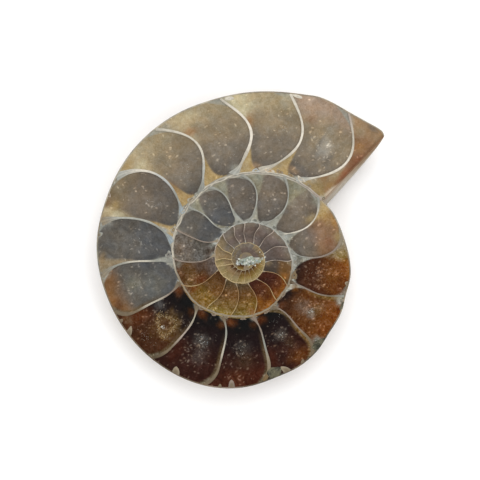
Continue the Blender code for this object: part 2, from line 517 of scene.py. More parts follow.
septa = [np.polyfit(STATIONS, keys, 4) for keys in SEPTA]
for index in range(FIRST_WHORLS_COUNT):
    middle = FIRST_WHORLS_START + FIRST_WHORLS_STEP * index
    septa.append(np.polyfit(STATIONS, (middle + 3.0, middle + 0.6, middle, middle - 0.6, middle - 2.0), 4))


def polar_place(turn, radius):
    """x and y at a turn and a distance from the coil's centre."""
    angle = np.radians(turn)
    return COIL_CENTRE[0] + radius * np.cos(angle), COIL_CENTRE[1] + radius * np.sin(angle)


def face_place(turn, across):
    """x and y on the face, at a share of the way from a whorl's inner wall to its outer wall."""
    inner = coil_radius(turn + 360.0)
    return polar_place(turn, inner + (coil_radius(turn) - inner) * across)


def mouth_turn(across):
    """The turn at which the cut at the mouth crosses each share of the last whorl."""
    x, y = mouth_line(np.linspace(0.0, 1.0, 400))
    x, y = x - COIL_CENTRE[0], y - COIL_CENTRE[1]
    turns, radii = np.degrees(np.arctan2(y, x)), np.hypot(x, y)
    inner = coil_radius(turns + 360.0)
    shares = (radii - inner) / (coil_radius(turns) - inner)
    return np.interp(across, shares, turns)


def wall_turn(index, across):
    """The turn of a septum at each share of the way out; -1 is the cut at the mouth."""
    if index < 0:
        return mouth_turn(across)
    return np.polyval(septa[index], across)


# A dark core that ends just short of the wall behind, and one that leaves no fringe
SHORT_CORE, FULL_CORE = (0.85, 1.02, 0.90), (1.3, 1.3, 1.3)
# The chambers' fills from the mouth inwards: how many alike; then at the rim, above the middle,
# below it and at the inner wall; the fringe behind the dark core towards the rim and the inner
# wall; the band along the wall behind; how far back the core reaches at the rim, the middle and
# the inner wall; how soft its back is; and how many specks it holds.
FILL_RUNS = (
    (1, "amber", "copper", "copper", "honey", "amber", "honey", None, FULL_CORE, 0.2, 0.2),
    (1, "rose", "fawn", "clay", "dusk", "rose", "honey", None, (0.95, 1.03, 0.10), 0.20, 0.6),
    (1, "khaki", "fawn", "clay", "dusk", "straw", "honey", None, (0.60, 1.02, 0.10), 0.22, 0.3),
    (1, "khaki", "fawn", "clay", "dusk", "khaki", "honey", None, (0.55, 1.02, 0.10), 0.24, 0.35),
    (1, "khaki", "fawn", "clay", "stone", "khaki", "honey", None, (0.50, 1.00, 0.10), 0.24, 0.35),
    (1, "biscuit", "putty", "dusk", "stone", "khaki", "honey", None, (0.66, 1.00, 0.35), 0.12, 0.4),
    (1, "stone", "stone", "slate", "slate", "fawn", "mist", None, (0.66, 1.00, 0.62), 0.09, 0.5),
    (1, "rust", "stone", "slate", "slate", "rust", "dusk", "drab", (0.90, 1.02, 0.85), 0.20, 0.7),
    (1, "walnut", "walnut", "soot", "pitch", "walnut", "coffee", "drab", (1.1, 1.1, 0.95), 0.20, 1.5),
    (1, "umber", "umber", "soot", "pitch", "umber", "drab", "drab", (0.95, 1.05, 0.85), 0.14, 1.2),
    (1, "garnet", "umber", "soot", "pitch", "umber", "drab", "drab", (0.95, 1.05, 0.85), 0.14, 1.2),
    (1, "umber", "umber", "soot", "pitch", "chestnut", "drab", "ochre", (0.95, 1.0, 0.60), 0.14, 1.5),
    (1, "sienna", "russet", "russet", "coffee", "brass", "mist", "ochre", (0.80, 1.02, 0.52), 0.12, 1.6),
    (1, "sienna", "russet", "chestnut", "coffee", "biscuit", "mist", None, (0.62, 1.00, 0.25), 0.20, 1.5),
    (1, "nougat", "nougat", "putty", "dusk", "honey", "mist", None, (0.62, 1.02, 0.22), 0.14, 0.5),
    (1, "dove", "putty", "putty", "dusk", "sage", "mist", None, (0.30, 0.96, 0.18), 0.07, 0.3),
    (1, "dove", "putty", "dusk", "stone", "olive", "mist", None, (0.42, 1.02, 0.22), 0.06, 0.4),
    (1, "dusk", "dusk", "dusk", "stone", "olive", "mist", None, (0.45, 1.02, 0.28), 0.06, 0.4),
    (1, "dusk", "stone", "slate", "slate", "olive", "olive", None, (0.55, 1.00, 0.50), 0.07, 0.6),
    (1, "stone", "stone", "slate", "slate", "putty", "dusk", None, SHORT_CORE, 0.08, 0.4),
    (1, "dusk", "dusk", "stone", "peat", "dove", "peat", None, (0.90, 1.02, 0.92), 0.12, 0.7),
    (1, "bark", "cinnamon", "bark", "plum", "ochre", "plum", None, (0.95, 1.05, 0.95), 0.14, 1.2),
    (1, "ochre", "bronze", "brass", "bark", "gold", "chestnut", None, (0.95, 1.05, 1.0), 0.14, 0.9),
    (1, "gold", "ochre", "brass", "drab", "gold", "chestnut", None, (0.90, 1.05, 1.0), 0.14, 1.0),
    (1, "gold", "bronze", "brass", "drab", "bronze", "chestnut", None, (0.90, 1.05, 1.0), 0.14, 1.2),
    (1, "tawny", "russet", "oxblood", "garnet", "sienna", "bark", None, (0.80, 1.05, 1.0), 0.14, 1.3),
    (1, "tawny", "oxblood", "garnet", "garnet", "sienna", "bark", None, (0.70, 1.00, 0.95), 0.12, 1.3),
    (1, "cinnamon", "cinnamon", "peat", "peat", "hazel", "plum", None, (0.75, 1.02, 0.90), 0.14, 1.4),
    (2, "dove", "mauve", "plum", "plum", "dove", "dove", None, SHORT_CORE, 0.12, 0.3),
    (2, "dove", "mauve", "plum", "mauve", "dove", "dove", None, SHORT_CORE, 0.12, 0.3),
    (1, "dove", "mauve", "mauve", "mauve", "dove", "dove", None, SHORT_CORE, 0.12, 0.3),
    (1, "dove", "putty", "mauve", "dove", "dove", "dove", None, SHORT_CORE, 0.12, 0.3),
    (1, "biscuit", "biscuit", "putty", "biscuit", "wheat", "biscuit", None, SHORT_CORE, 0.12, 0.3),
    (1, "sand", "sand", "sand", "sand", "wheat", "sand", None, SHORT_CORE, 0.12, 0.3),
    (1, "wheat", "wheat", "sand", "sand", "wheat", "wheat", None, SHORT_CORE, 0.12, 0.3),
    (3, "wheat", "wheat", "sand", "bark", "wheat", "wheat", None, SHORT_CORE, 0.12, 0.2),
    (6, "wheat", "gold", "bronze", "bark", "wheat", "gold", None, SHORT_CORE, 0.12, 0.2),
    (3, "sand", "biscuit", "mauve", "mauve", "sand", "biscuit", None, FULL_CORE, 0.12, 0.2),
    (3, "dove", "dove", "mauve", "mauve", "dove", "dove", None, FULL_CORE, 0.12, 0.4),
    (3, "dove", "biscuit", "dove", "dove", "dove", "dove", None, FULL_CORE, 0.12, 0.4),
    (3, "biscuit", "biscuit", "dove", "putty", "biscuit", "biscuit", None, FULL_CORE, 0.12, 0.4),
    (3, "gold", "bronze", "bark", "bark", "gold", "gold", None, FULL_CORE, 0.12, 0.2),
)
# Chambers that share one look or another, numbered from the mouth
INKY = range(8, 12)  # Nearly black at the inner wall, with no specks there
DARK = (*range(8, 14), *range(20, 27))
PALE = range(6)
GREY_CORNERED = (*range(1, 8), *range(13, 21))  # Grey in the corners beside the wall ahead
WIDE_CORNERED = range(15, 20)
WIDE_CORNER, CORNER = 0.45, 0.22  # How far back the grey reaches at the rim
FLARED = range(21)  # Grey where the walls spring from each other
SHADED = range(37)  # Darker close to the wall ahead
# How strong the clouding and the grain are
DARK_TEXTURE, PALE_TEXTURE, GREY_TEXTURE = (2.5, 1.7), (0.8, 0.6), (1.1, 0.6)
TILE_GAP = 0.004  # Share of its width that a tile leaves free under the septum at each side
TILE_TOP = 0.035 * MM  # How far the fill lies below the septa
TILE_THICKNESS = 0.10 * MM
TILE_GRAIN = 0.26 * MM  # The size of a tile's squares
FEWEST_COLUMNS, FEWEST_ROWS = 6, 8
LINE_POINTS = 90  # Points along a septum that distances are taken from


def slab(name, columns, rows, place, thickness, colour=None, extra=None, way=(0.0, 0.0, -1.0)):
    """A thin closed slab: a grid set out by place(u, v), its border drawn inwards and closed."""
    inwards = tuple(thickness * part for part in way)
    piece, u, v = add_grid(name, columns, rows)
    points = place(u, v)
    piece.data.vertices.foreach_set("co", points.ravel())
    if colour is not None:
        store(piece, "tint", colour(u, v, points))
    if extra is not None:
        store(piece, "inclusions", extra(u, v, points))
    bpy.ops.object.mode_set(mode="EDIT")
    bpy.ops.mesh.select_all(action="SELECT")
    bpy.ops.mesh.remove_doubles(threshold=MERGE_GAP)
    bpy.ops.mesh.select_all(action="DESELECT")
    bpy.ops.mesh.select_non_manifold()
    bpy.ops.mesh.extrude_region_move(TRANSFORM_OT_translate={"value": inwards})
    bpy.ops.mesh.edge_face_add()
    bpy.ops.mesh.select_all(action="SELECT")
    bpy.ops.mesh.normals_make_consistent(inside=False)
    bpy.ops.object.mode_set(mode="OBJECT")
    return piece


# Where the second map keeps the faces that aren't seen from above
HIDDEN_BELOW, CORNER_PLACE, CORNER_SIZE = 0.2, np.array((0.92, 0.01)), 0.06


def lay_out(piece):
    """A second map for each piece: faces seen from above lie flat over it, the rest in a corner."""
    mesh = piece.data
    corners = np.empty(len(mesh.loops), dtype=int)
    mesh.loops.foreach_get("vertex_index", corners)
    points = np.empty(3 * len(mesh.vertices))
    mesh.vertices.foreach_get("co", points)
    points = points.reshape(-1, 3)[corners]
    facing = np.empty(3 * len(mesh.polygons))
    mesh.polygons.foreach_get("normal", facing)
    sides = np.empty(len(mesh.polygons), dtype=int)
    mesh.polygons.foreach_get("loop_total", sides)
    facing = np.repeat(facing.reshape(-1, 3), sides, axis=0)
    flat = points[:, :2] + facing[:, :2] * points[:, 2:]
    low = points[:, :2].min(axis=0) - MM
    flat = (flat - low) / (np.ptp(points[:, :2], axis=0).max() + 2.0 * MM)
    hidden = facing[:, 2] < HIDDEN_BELOW
    flat[hidden] = CORNER_PLACE + CORNER_SIZE * flat[hidden]
    mesh.uv_layers.new(name="OFBake")
    mesh.uv_layers["OFBake"].data.foreach_set("uv", flat.ravel())


def join(name, parts):
    """Makes one piece of several."""
    bpy.ops.object.select_all(action="DESELECT")
    for part in parts:
        part.select_set(True)
    bpy.context.view_layer.objects.active = parts[0]
    bpy.ops.object.join()
    parts[0].name = name
    parts[0].data.name = name
    return parts[0]


def distance_to(points, line_x, line_y):
    """Distance in mm from each point to the nearest of a line's close-set points."""
    gap_x = points[:, 0][:, None] - line_x[None, :]
    gap_y = points[:, 1][:, None] - line_y[None, :]
    return np.sqrt((gap_x**2 + gap_y**2).min(axis=1)) / MM


GOLDEN_ANGLE = 2.39996


def cloud(points, size, seed):
    """Smooth waves about `size` mm across, from -1 to 1, the same each time."""
    x, y = points[:, 0] / (size * MM), points[:, 1] / (size * MM)
    total = np.zeros(len(points))
    for layer in range(6):
        angle = GOLDEN_ANGLE * layer + seed
        phase = 1.7 * layer + 5.1 * seed
        wave = 1.0 + 0.35 * layer
        total += np.sin(wave * (x * math.cos(angle) + y * math.sin(angle)) * 2.2 + phase) / wave
    return total / 2.6


def over(colours, added, amount):
    """Lays a colour over others by an amount at each vertex."""
    return colours + (added - colours) * np.clip(amount, 0.0, 1.0)[:, None]


# Stains in the fill: chamber, share back from the wall ahead, share out from the inner wall,
# size in mm along and out, mineral and strength
STAINS = (
    (0, 0.94, 0.36, 0.7, 2.2, "mist", 0.7), (0, 0.92, 0.12, 0.8, 1.0, "mist", 0.6),
    (0, 0.20, 0.16, 0.9, 1.2, "amberine", 0.4), (0, 0.55, 0.70, 1.4, 1.2, "buff", 0.5),
    (0, 0.00, 0.14, 0.40, 1.7, "cream", 0.9), (0, 0.15, 0.60, 0.9, 1.4, "brick", 0.5),
    (0, 0.12, 0.38, 0.8, 2.2, "brick", 0.6), (0, 0.35, 0.97, 1.2, 0.6, "dusk", 0.7),
    (0, 0.70, 0.86, 1.0, 1.0, "khaki", 0.4), (0, 0.60, 0.28, 1.0, 1.2, "honey", 0.6),
    (0, 0.15, 0.12, 0.8, 0.8, "copper", 0.5), (0, 0.88, 0.36, 0.8, 1.2, "honey", 0.4),
    (1, 0.48, 0.50, 1.6, 1.8, "frost", 0.40), (1, 0.45, 0.70, 0.8, 1.8, "mist", 0.25),
    (1, 0.72, 0.84, 2.6, 1.3, "rose", 0.6), (1, 0.80, 0.72, 1.4, 1.0, "brick", 0.22),
    (1, 0.16, 0.48, 0.9, 2.4, "fawn", 0.6), (1, 0.74, 0.44, 0.9, 1.8, "fawn", 0.5),
    (1, 0.30, 0.40, 0.5, 2.2, "stone", 0.5), (1, 0.60, 0.56, 0.4, 1.8, "stone", 0.55),
    (1, 0.60, 0.24, 1.6, 0.7, "dusk", 0.5), (1, 0.25, 0.28, 0.8, 0.7, "fawn", 0.4),
    (1, 0.50, 0.22, 0.9, 0.6, "fawn", 0.45), (1, 0.50, 0.10, 1.3, 0.7, "amber", 0.6),
    (1, 0.90, 0.10, 0.9, 0.8, "taupe", 0.6),
    (2, 0.50, 0.09, 1.1, 0.6, "amber", 0.55), (2, 0.90, 0.10, 0.9, 0.8, "taupe", 0.5),
    (2, 0.06, 0.86, 0.8, 1.6, "khaki", 0.8), (2, 0.10, 0.94, 1.1, 0.8, "straw", 0.5),
    (2, 0.82, 0.84, 2.0, 1.1, "straw", 0.75), (2, 0.97, 0.64, 0.8, 1.4, "ginger", 0.7),
    (2, 0.14, 0.88, 0.9, 0.9, "hay", 0.5),
    (3, 0.12, 0.10, 1.0, 0.7, "mist", 0.6), (3, 0.90, 0.72, 1.6, 0.9, "ginger", 0.6),
    (3, 0.62, 0.92, 2.4, 0.9, "straw", 0.55), (3, 0.92, 0.94, 1.0, 0.7, "mist", 0.5),
    (4, 0.92, 0.78, 1.5, 0.9, "straw", 0.8), (4, 0.84, 0.93, 1.6, 0.8, "honey", 0.9),
    (4, 0.92, 0.28, 0.6, 2.0, "rust", 0.5), (4, 0.60, 0.07, 1.4, 0.5, "ginger", 0.25),
    (5, 0.97, 0.15, 0.55, 1.1, "sky", 0.8), (5, 0.93, 0.80, 0.8, 1.6, "straw", 0.7),
    (5, 0.74, 0.86, 1.0, 1.0, "honey", 0.8), (5, 0.62, 0.96, 0.9, 0.5, "rust", 0.7),
    (5, 0.95, 0.98, 0.6, 0.5, "rust", 0.7), (5, 0.30, 0.90, 1.4, 0.8, "hay", 0.25),
    (6, 0.03, 0.93, 0.8, 1.3, "pearl", 0.8), (6, 0.74, 0.93, 1.6, 0.6, "sand", 0.6),
    (6, 0.98, 0.16, 0.7, 1.0, "pearl", 0.5), (6, 0.14, 0.90, 0.9, 0.8, "stone", 0.35),
    (7, 0.02, 0.94, 0.8, 0.9, "pearl", 0.8), (7, 0.80, 0.90, 1.4, 0.9, "chestnut", 0.6),
    (7, 0.55, 0.95, 2.0, 0.9, "ginger", 0.30), (7, 0.45, 0.60, 1.3, 1.3, "olive", 0.5),
    (7, 0.60, 0.35, 2.4, 2.6, "olive", 0.25),
    (8, 0.12, 0.90, 1.2, 0.8, "russet", 0.5), (8, 0.60, 0.50, 2.1, 2.5, "ochre", 0.75),
    (8, 0.57, 0.50, 1.3, 1.5, "walnut", 0.9), (8, 0.10, 0.40, 1.2, 1.0, "slate", 0.5),
    (8, 0.08, 0.06, 1.5, 0.9, "ember", 0.8), (8, 0.10, 0.75, 1.6, 2.6, "oxblood", 0.6),
    (8, 0.86, 0.12, 0.8, 0.7, "russet", 0.4), (8, 0.12, 0.88, 0.9, 0.8, "hazel", 0.3),
    (9, 0.45, 0.42, 1.5, 1.3, "stone", 0.40), (9, 0.55, 0.62, 1.6, 1.8, "stone", 0.26),
    (9, 0.20, 0.06, 1.2, 0.8, "ember", 0.7), (9, 0.12, 0.74, 1.2, 2.6, "garnet", 0.6),
    (9, 0.86, 0.12, 0.8, 0.7, "russet", 0.5),
    (10, 0.45, 0.44, 1.4, 1.4, "stone", 0.28), (10, 0.50, 0.62, 1.6, 1.6, "drab", 0.22),
    (10, 0.20, 0.06, 1.1, 0.8, "ember", 0.9), (10, 0.40, 0.85, 2.0, 1.6, "oxblood", 0.4),
    (10, 0.86, 0.12, 0.8, 0.7, "russet", 0.35),
    (11, 0.50, 0.43, 1.2, 1.0, "dusk", 0.36), (11, 0.60, 0.60, 1.0, 1.0, "drab", 0.22),
    (11, 0.16, 0.08, 1.1, 0.8, "ember", 0.8), (11, 0.72, 0.88, 2.2, 1.1, "sienna", 0.6),
    (11, 0.12, 0.94, 1.4, 0.7, "moss", 0.9), (11, 0.10, 0.72, 1.0, 2.4, "garnet", 0.7),
    (11, 0.65, 0.85, 2.0, 1.6, "russet", 0.5),
    (12, 0.46, 0.56, 1.0, 1.1, "dove", 0.7), (12, 0.62, 0.62, 1.2, 1.0, "sand", 0.35),
    (12, 0.15, 0.10, 1.0, 0.8, "ember", 0.6), (12, 0.92, 0.94, 1.0, 0.9, "mist", 0.8),
    (12, 0.50, 0.38, 1.5, 1.3, "dusk", 0.45), (12, 0.13, 0.90, 0.9, 1.0, "mist", 0.9),
    (12, 0.35, 0.85, 2.0, 1.3, "sienna", 0.6), (12, 0.20, 0.22, 1.4, 1.4, "coffee", 0.45),
    (12, 0.86, 0.12, 0.8, 0.7, "tawny", 0.5),
    (13, 0.50, 0.70, 2.0, 1.4, "tawny", 0.3), (13, 0.05, 0.55, 0.8, 2.4, "garnet", 0.6),
    (13, 0.14, 0.86, 1.2, 1.2, "ember", 0.9), (13, 0.45, 0.97, 1.8, 0.5, "tawny", 0.7),
    (13, 0.78, 0.88, 1.0, 1.5, "gold", 0.7), (13, 0.60, 0.94, 0.9, 0.8, "tawny", 0.7),
    (13, 0.75, 0.10, 1.4, 0.8, "soot", 0.5),
    (14, 0.14, 0.90, 1.0, 0.9, "honey", 0.8), (14, 0.25, 0.72, 1.5, 1.1, "brick", 0.30),
    (14, 0.48, 0.93, 1.6, 0.6, "amberine", 0.7), (14, 0.80, 0.84, 1.8, 0.9, "parchment", 0.5),
    (14, 0.66, 0.50, 1.8, 1.5, "mauve", 0.5), (14, 0.74, 0.86, 0.9, 1.1, "amberine", 0.5),
    (15, 0.12, 0.90, 0.8, 0.7, "olive", 0.7), (15, 0.10, 0.62, 0.8, 1.2, "honey", 0.7),
    (15, 0.50, 0.88, 1.2, 1.0, "hay", 0.35), (15, 0.86, 0.62, 0.9, 1.0, "hay", 0.35),
    (18, 0.86, 0.10, 0.6, 0.6, "stone", 0.4),
    (19, 0.86, 0.10, 0.6, 0.6, "stone", 0.4),
    (20, 0.14, 0.10, 0.8, 0.6, "mist", 0.6), (20, 0.50, 0.62, 1.0, 0.9, "peat", 0.5),
    (20, 0.85, 0.12, 0.7, 0.6, "peat", 0.5), (20, 0.60, 0.82, 1.3, 1.0, "cinnamon", 0.3),
    (21, 0.80, 0.50, 0.8, 1.4, "oxblood", 0.8), (21, 0.15, 0.40, 1.2, 1.6, "plum", 0.5),
    (21, 0.14, 0.90, 0.7, 0.8, "mist", 0.6), (21, 0.92, 0.46, 0.9, 0.9, "ember", 0.6),
    (21, 0.86, 0.82, 0.8, 0.8, "ochre", 0.35),
    (22, 0.10, 0.80, 0.9, 1.2, "sienna", 0.8), (22, 0.14, 0.90, 0.7, 0.8, "bark", 0.75),
    (22, 0.86, 0.36, 0.7, 0.8, "brass", 0.5),
    (23, 0.70, 0.12, 1.2, 0.7, "bark", 0.4),
    (24, 0.88, 0.86, 0.9, 0.9, "sienna", 0.7), (24, 0.70, 0.12, 1.2, 0.7, "garnet", 0.35),
    (25, 0.90, 0.86, 0.6, 0.8, "sienna", 0.8), (25, 0.40, 0.42, 0.9, 1.1, "garnet", 0.6),
    (25, 0.14, 0.64, 0.7, 1.0, "tawny", 0.7), (25, 0.40, 0.24, 0.8, 0.8, "chestnut", 0.6),
    (26, 0.58, 0.62, 0.7, 0.9, "chestnut", 0.5), (26, 0.20, 0.75, 0.7, 0.8, "sienna", 0.8),
    (26, 0.65, 0.92, 0.8, 0.5, "sienna", 0.6),
    (27, 0.15, 0.75, 0.8, 0.9, "tawny", 0.7), (27, 0.86, 0.10, 0.6, 0.7, "sand", 0.6),
)


def inside_lip(turn, across):
    """The share across, drawn in so that the last whorl's fill stays inside the shell's lip."""
    height = coil_radius(turn) - coil_radius(turn + 360.0)
    return across * np.where(turn < JOINT_TURN, 1.0 - LIP_WIDTH / height, 1.0)


def tile_place(index):
    """Where chamber tile vertices go: along the coil by u, out from the inner wall by v."""
    def place(u, v):
        u = TILE_GAP + (1.0 - 2.0 * TILE_GAP) * u
        v = inside_lip(wall_turn(index - 1, v) * (1.0 - u) + wall_turn(index, v) * u, v)
        ahead, behind = wall_turn(index - 1, v), wall_turn(index, v)
        x, y = face_place(ahead + (behind - ahead) * u, v)
        return np.column_stack((x, y, np.full(len(u), FACE - TILE_TOP)))
    return place


def run_at(runs, index):
    """What a run says of a chamber or a septum; each run opens with how many are alike."""
    for alike, *said in runs:
        index -= alike
        if index < 0:
            return said


def stained(made, points, index):
    """The colours of a chamber's fill with its stains laid over them."""
    for chamber, back_share, across, along, outward, name, strength in STAINS:
        if chamber != index:
            continue
        turn = wall_turn(index - 1, across) * (1.0 - back_share) + wall_turn(index, across) * back_share
        x, y = face_place(turn, across)
        angle = math.radians(float(turn))
        east, north = (points[:, 0] - x) / MM, (points[:, 1] - y) / MM
        out_way = east * math.cos(angle) + north * math.sin(angle)
        along_way = north * math.cos(angle) - east * math.sin(angle)
        reach = (out_way / outward) ** 2 + (along_way / along) ** 2
        reach = reach * (1.0 + 0.45 * cloud(points, 0.5 * along, across * 7.0))
        made = over(made, mineral(name), strength * np.exp(-np.clip(reach, 0.0, 30.0) ** 1.3))
    return made


def tile_colour(index):
    """The colours of one chamber's fill."""
    fills = run_at(FILL_RUNS, index)
    at_rim, above, below, at_wall, fringe_out, fringe_in = (mineral(name) for name in fills[:6])
    band, (back_out, back_middle, back_in), soft = fills[6:9]
    line = np.linspace(0.0, 1.0, LINE_POINTS)

    def colour(u, v, points):
        size = math.hypot(*(np.ptp(points, axis=0)[:2])) / MM
        near = distance_to(points, *face_place(wall_turn(index - 1, line), line))
        far = distance_to(points, *face_place(wall_turn(index, line), line))
        sway = 0.05 * cloud(points, 0.22 * size, index)
        made = np.tile(at_wall, (len(u), 1))
        made = over(made, below, ramp(v + sway, 0.06, 0.34))
        made = over(made, above, ramp(v + sway, 0.38, 0.64))
        made = over(made, at_rim, ramp(v + sway, 0.66, 0.92))
        # The core is darkest against the wall ahead. It reaches back furthest in the middle.
        made = made * (1.06 - 0.20 * ramp(near, 0.30 * size, 0.4)[:, None])
        back = back_middle - (back_middle - back_out) * np.clip((v - 0.42) / 0.58, 0, 1) ** 1.8
        low = np.clip((0.50 - v) / 0.47, 0, 1)
        back = back - (back_middle - back_in) * (1.0 - np.sqrt(1.0 - 0.98 * low**2))
        corner = WIDE_CORNER if index in WIDE_CORNERED else CORNER
        front = 0.42 * np.clip((0.16 - v) / 0.16, 0, 1) ** 2 + corner * np.clip((v - 0.80) / 0.20, 0, 1) ** 2
        soft_here = 0.05 + (soft - 0.05) * ramp(v, 0.35, 0.75)
        behind = ramp(u + 0.6 * sway, back - 0.5 * soft_here, back + 0.7 * soft_here)
        ahead = ramp(u, front + 0.03, front - 0.03)
        fringe = fringe_in + (fringe_out - fringe_in) * ramp(v, 0.30, 0.60)[:, None]
        # Painted shade: the fill is darkened along the back edge of the dark core. The shade is strongest
        # from the inner wall to the middle and fades out towards the rim.
        edge = np.exp(-((u - back + 0.6 * soft_here) / (0.10 + 0.5 * soft_here)) ** 2)
        made = made * (1.0 - 0.22 * (edge * ramp(v, 0.95, 0.4))[:, None])
        # Between core and wall the fringe is lightest in its middle.
        glow = 1.0 + 0.16 * ramp(far, 0.2, 0.9) - 0.10 * cloud(points, 1.1, index + 0.5)
        made = over(made, fringe * glow[:, None], behind)
        if index in GREY_CORNERED:
            made = over(made, mineral("mist"), 0.8 * ahead)
        if band is not None:
            made = over(made, mineral(band), 0.85 * ramp(far, 1.1, 0.3) * ramp(v, 0.15, 0.65))
        # Grey flares where the wall behind springs from the inner wall and meets the rim
        if index in FLARED:
            strength = 0.3 if index in INKY else 0.8
            made = over(made, mineral("pearl"), strength * ramp(far, 0.9, 0.25) * ramp(v * size, 1.7, 0.4))
            made = over(made, mineral("olive"), 0.5 * ramp(far, 1.0, 0.3) * ramp(v, 0.78, 0.97))
            made = over(made, mineral("pearl"), strength * ramp(near, 1.1, 0.4) * ramp(v * size, 1.3, 0.4))
        shadow = ramp(near, 0.60, 0.25) * (ramp(v, 0.0, 0.12) if index in SHADED else 0.0)
        made = made * (1.0 - 0.26 * shadow[:, None])
        warm = cloud(points, 1.9, 3.0 + 0.7 * index)[:, None] * np.array((0.025, 0.0, -0.04))
        made = made * (1.0 + warm + 0.05 * cloud(points, 3.1, 1.3 * index)[:, None])
        return stained(made, points, index)
    return colour


def tile_inclusions(index):
    """How many specks, how much cloud and how much grain a chamber's fill shows."""
    held = run_at(FILL_RUNS, index)[-1]
    texture = DARK_TEXTURE if index in DARK else PALE_TEXTURE if index in PALE else GREY_TEXTURE

    def inclusions(u, v, points):
        middle = ramp(np.abs(u - 0.48), 0.50, 0.10) * ramp(np.abs(v - 0.50), 0.50, 0.10)
        specks = held * (0.22 + 0.78 * middle) * (ramp(v, 0.10, 0.42) if index in INKY else 1.0)
        return np.column_stack((specks, np.tile(texture, (len(u), 1))))
    return inclusions


tiles = []
for index in range(len(septa) - 1):
    ends = face_place(wall_turn(index, STATIONS), STATIONS)
    starts = face_place(wall_turn(index - 1, STATIONS), STATIONS)
    width = max(math.hypot(x1 - x0, y1 - y0) for x0, y0, x1, y1 in zip(*starts, *ends))
    height = math.hypot(ends[0][-1] - ends[0][0], ends[1][-1] - ends[1][0])
    columns = max(FEWEST_COLUMNS, round(width / TILE_GRAIN))
    rows = max(FEWEST_ROWS, round(height / TILE_GRAIN))
    tiles.append(slab(
        f"chamber_{index}", columns, rows, tile_place(index), TILE_THICKNESS,
        tile_colour(index), tile_inclusions(index),
    ))
chamber_fill = join("chamber_fill", tiles)

calcite, tree, shader = finish("polished_calcite", 0.3, 0.09)
place = node(tree, "ShaderNodeTexCoord").outputs["Object"]
tint = stored(tree, "tint")
inclusions = stored(tree, "inclusions")
amounts = node(tree, "ShaderNodeSeparateColor", {0: inclusions}).outputs
billow = noise(tree, place, 300.0, 4.0, 0.6, warp=0.6)
marble = noise(tree, place, 620.0, 3.0, 0.6, warp=1.6)
mottle = noise(tree, place, 1100.0, 4.0, 0.65, warp=0.6)
grain = noise(tree, place, 3200.0, 2.0, 0.6)
wavy = number(tree, "MULTIPLY_ADD", centred(tree, mottle), 0.6, centred(tree, marble))
wavy = number(tree, "MULTIPLY", wavy, amounts[1])
tone = number(tree, "MULTIPLY_ADD", centred(tree, billow), 0.6, 1.0)
tone = number(tree, "MULTIPLY_ADD", wavy, 0.5, tone)
base = mix(tree, 1.0, tint, grey_of(tree, tone), "MULTIPLY")
# Fine variation is grey, whatever the stain.
fine = number(tree, "MULTIPLY", centred(tree, grain), amounts[2])
fine = number(tree, "MULTIPLY_ADD", wavy, 0.5, fine)
fine = number(tree, "MULTIPLY", fine, node(tree, "ShaderNodeRGBToBW", {0: base}).outputs[0])
base = mix(tree, 1.0, base, grey_of(tree, fine), "ADD")
drift = fade(tree, noise(tree, place, 520.0, 3.0, 0.6), 0.36, 0.64)
base = mix(tree, 1.0, base, mix(tree, drift, (0.98, 1.0, 1.02, 1), (1.04, 1.0, 0.94, 1)), "MULTIPLY")


def specks(tree, place, scale, size, amount):
    """Scattered inclusions: a mask, and a random number for each."""
    cells = node(tree, "ShaderNodeTexVoronoi", {"Vector": place, "Scale": scale, "Randomness": 1.0})
    chance = node(tree, "ShaderNodeSeparateColor", {0: cells.outputs["Color"]})
    shown = fade(tree, number(tree, "SUBTRACT", amount, chance.outputs[0]), -0.04, 0.04)
    radius = number(tree, "MULTIPLY_ADD", chance.outputs[1], size, 0.4 * size)
    spot = fade(tree, number(tree, "DIVIDE", cells.outputs["Distance"], radius), 1.3, 0.3)
    return number(tree, "MULTIPLY", spot, shown), chance.outputs[2]


def stretched(tree, place, angle, stretch):
    """Coordinates drawn out along one direction, so that round specks come out long."""
    values = {"Vector": place, "Rotation": (0.0, 0.0, math.radians(angle)), "Scale": (stretch, 1.0, 1.0)}
    return node(tree, "ShaderNodeMapping", values, vector_type="TEXTURE").outputs[0]


# Specks crowd together: fine crackle nearly everywhere, sparks and needles in clusters.
crowd = fade(tree, noise(tree, place, 420.0, 3.0, 0.6), 0.38, 0.60)
crowd = number(tree, "MULTIPLY", crowd, amounts[0])
ragged = node(tree, "ShaderNodeTexNoise", {"Vector": place, "Scale": 2400.0, "Detail": 2.0}).outputs["Color"]
rough = node(tree, "ShaderNodeVectorMath", {0: ragged, 1: (0.0003, 0.0003, 0.0)}, operation="MULTIPLY")
rough = rough.outputs[0]
rough = node(tree, "ShaderNodeVectorMath", {0: rough, 1: place}, operation="ADD").outputs[0]
crackle = fade(tree, noise(tree, place, 1700.0, 4.0, 0.72, warp=1.8), 0.53, 0.66)
crackle = number(tree, "MULTIPLY", crackle, number(tree, "MULTIPLY", crowd, 0.8))


def brightened(tree, base, gain, kind, warm, cool):
    """The fill as it looks where a flaw in it catches the light."""
    lit = mix(tree, 1.0, base, (gain, gain, gain, 1), "MULTIPLY")
    return mix(tree, 1.0, lit, mix(tree, kind, warm, cool), "ADD")


veil = brightened(tree, base, 1.4, drift, (0.030, 0.022, 0.014, 1), (0.020, 0.022, 0.022, 1))
base = mix(tree, crackle, base, veil)
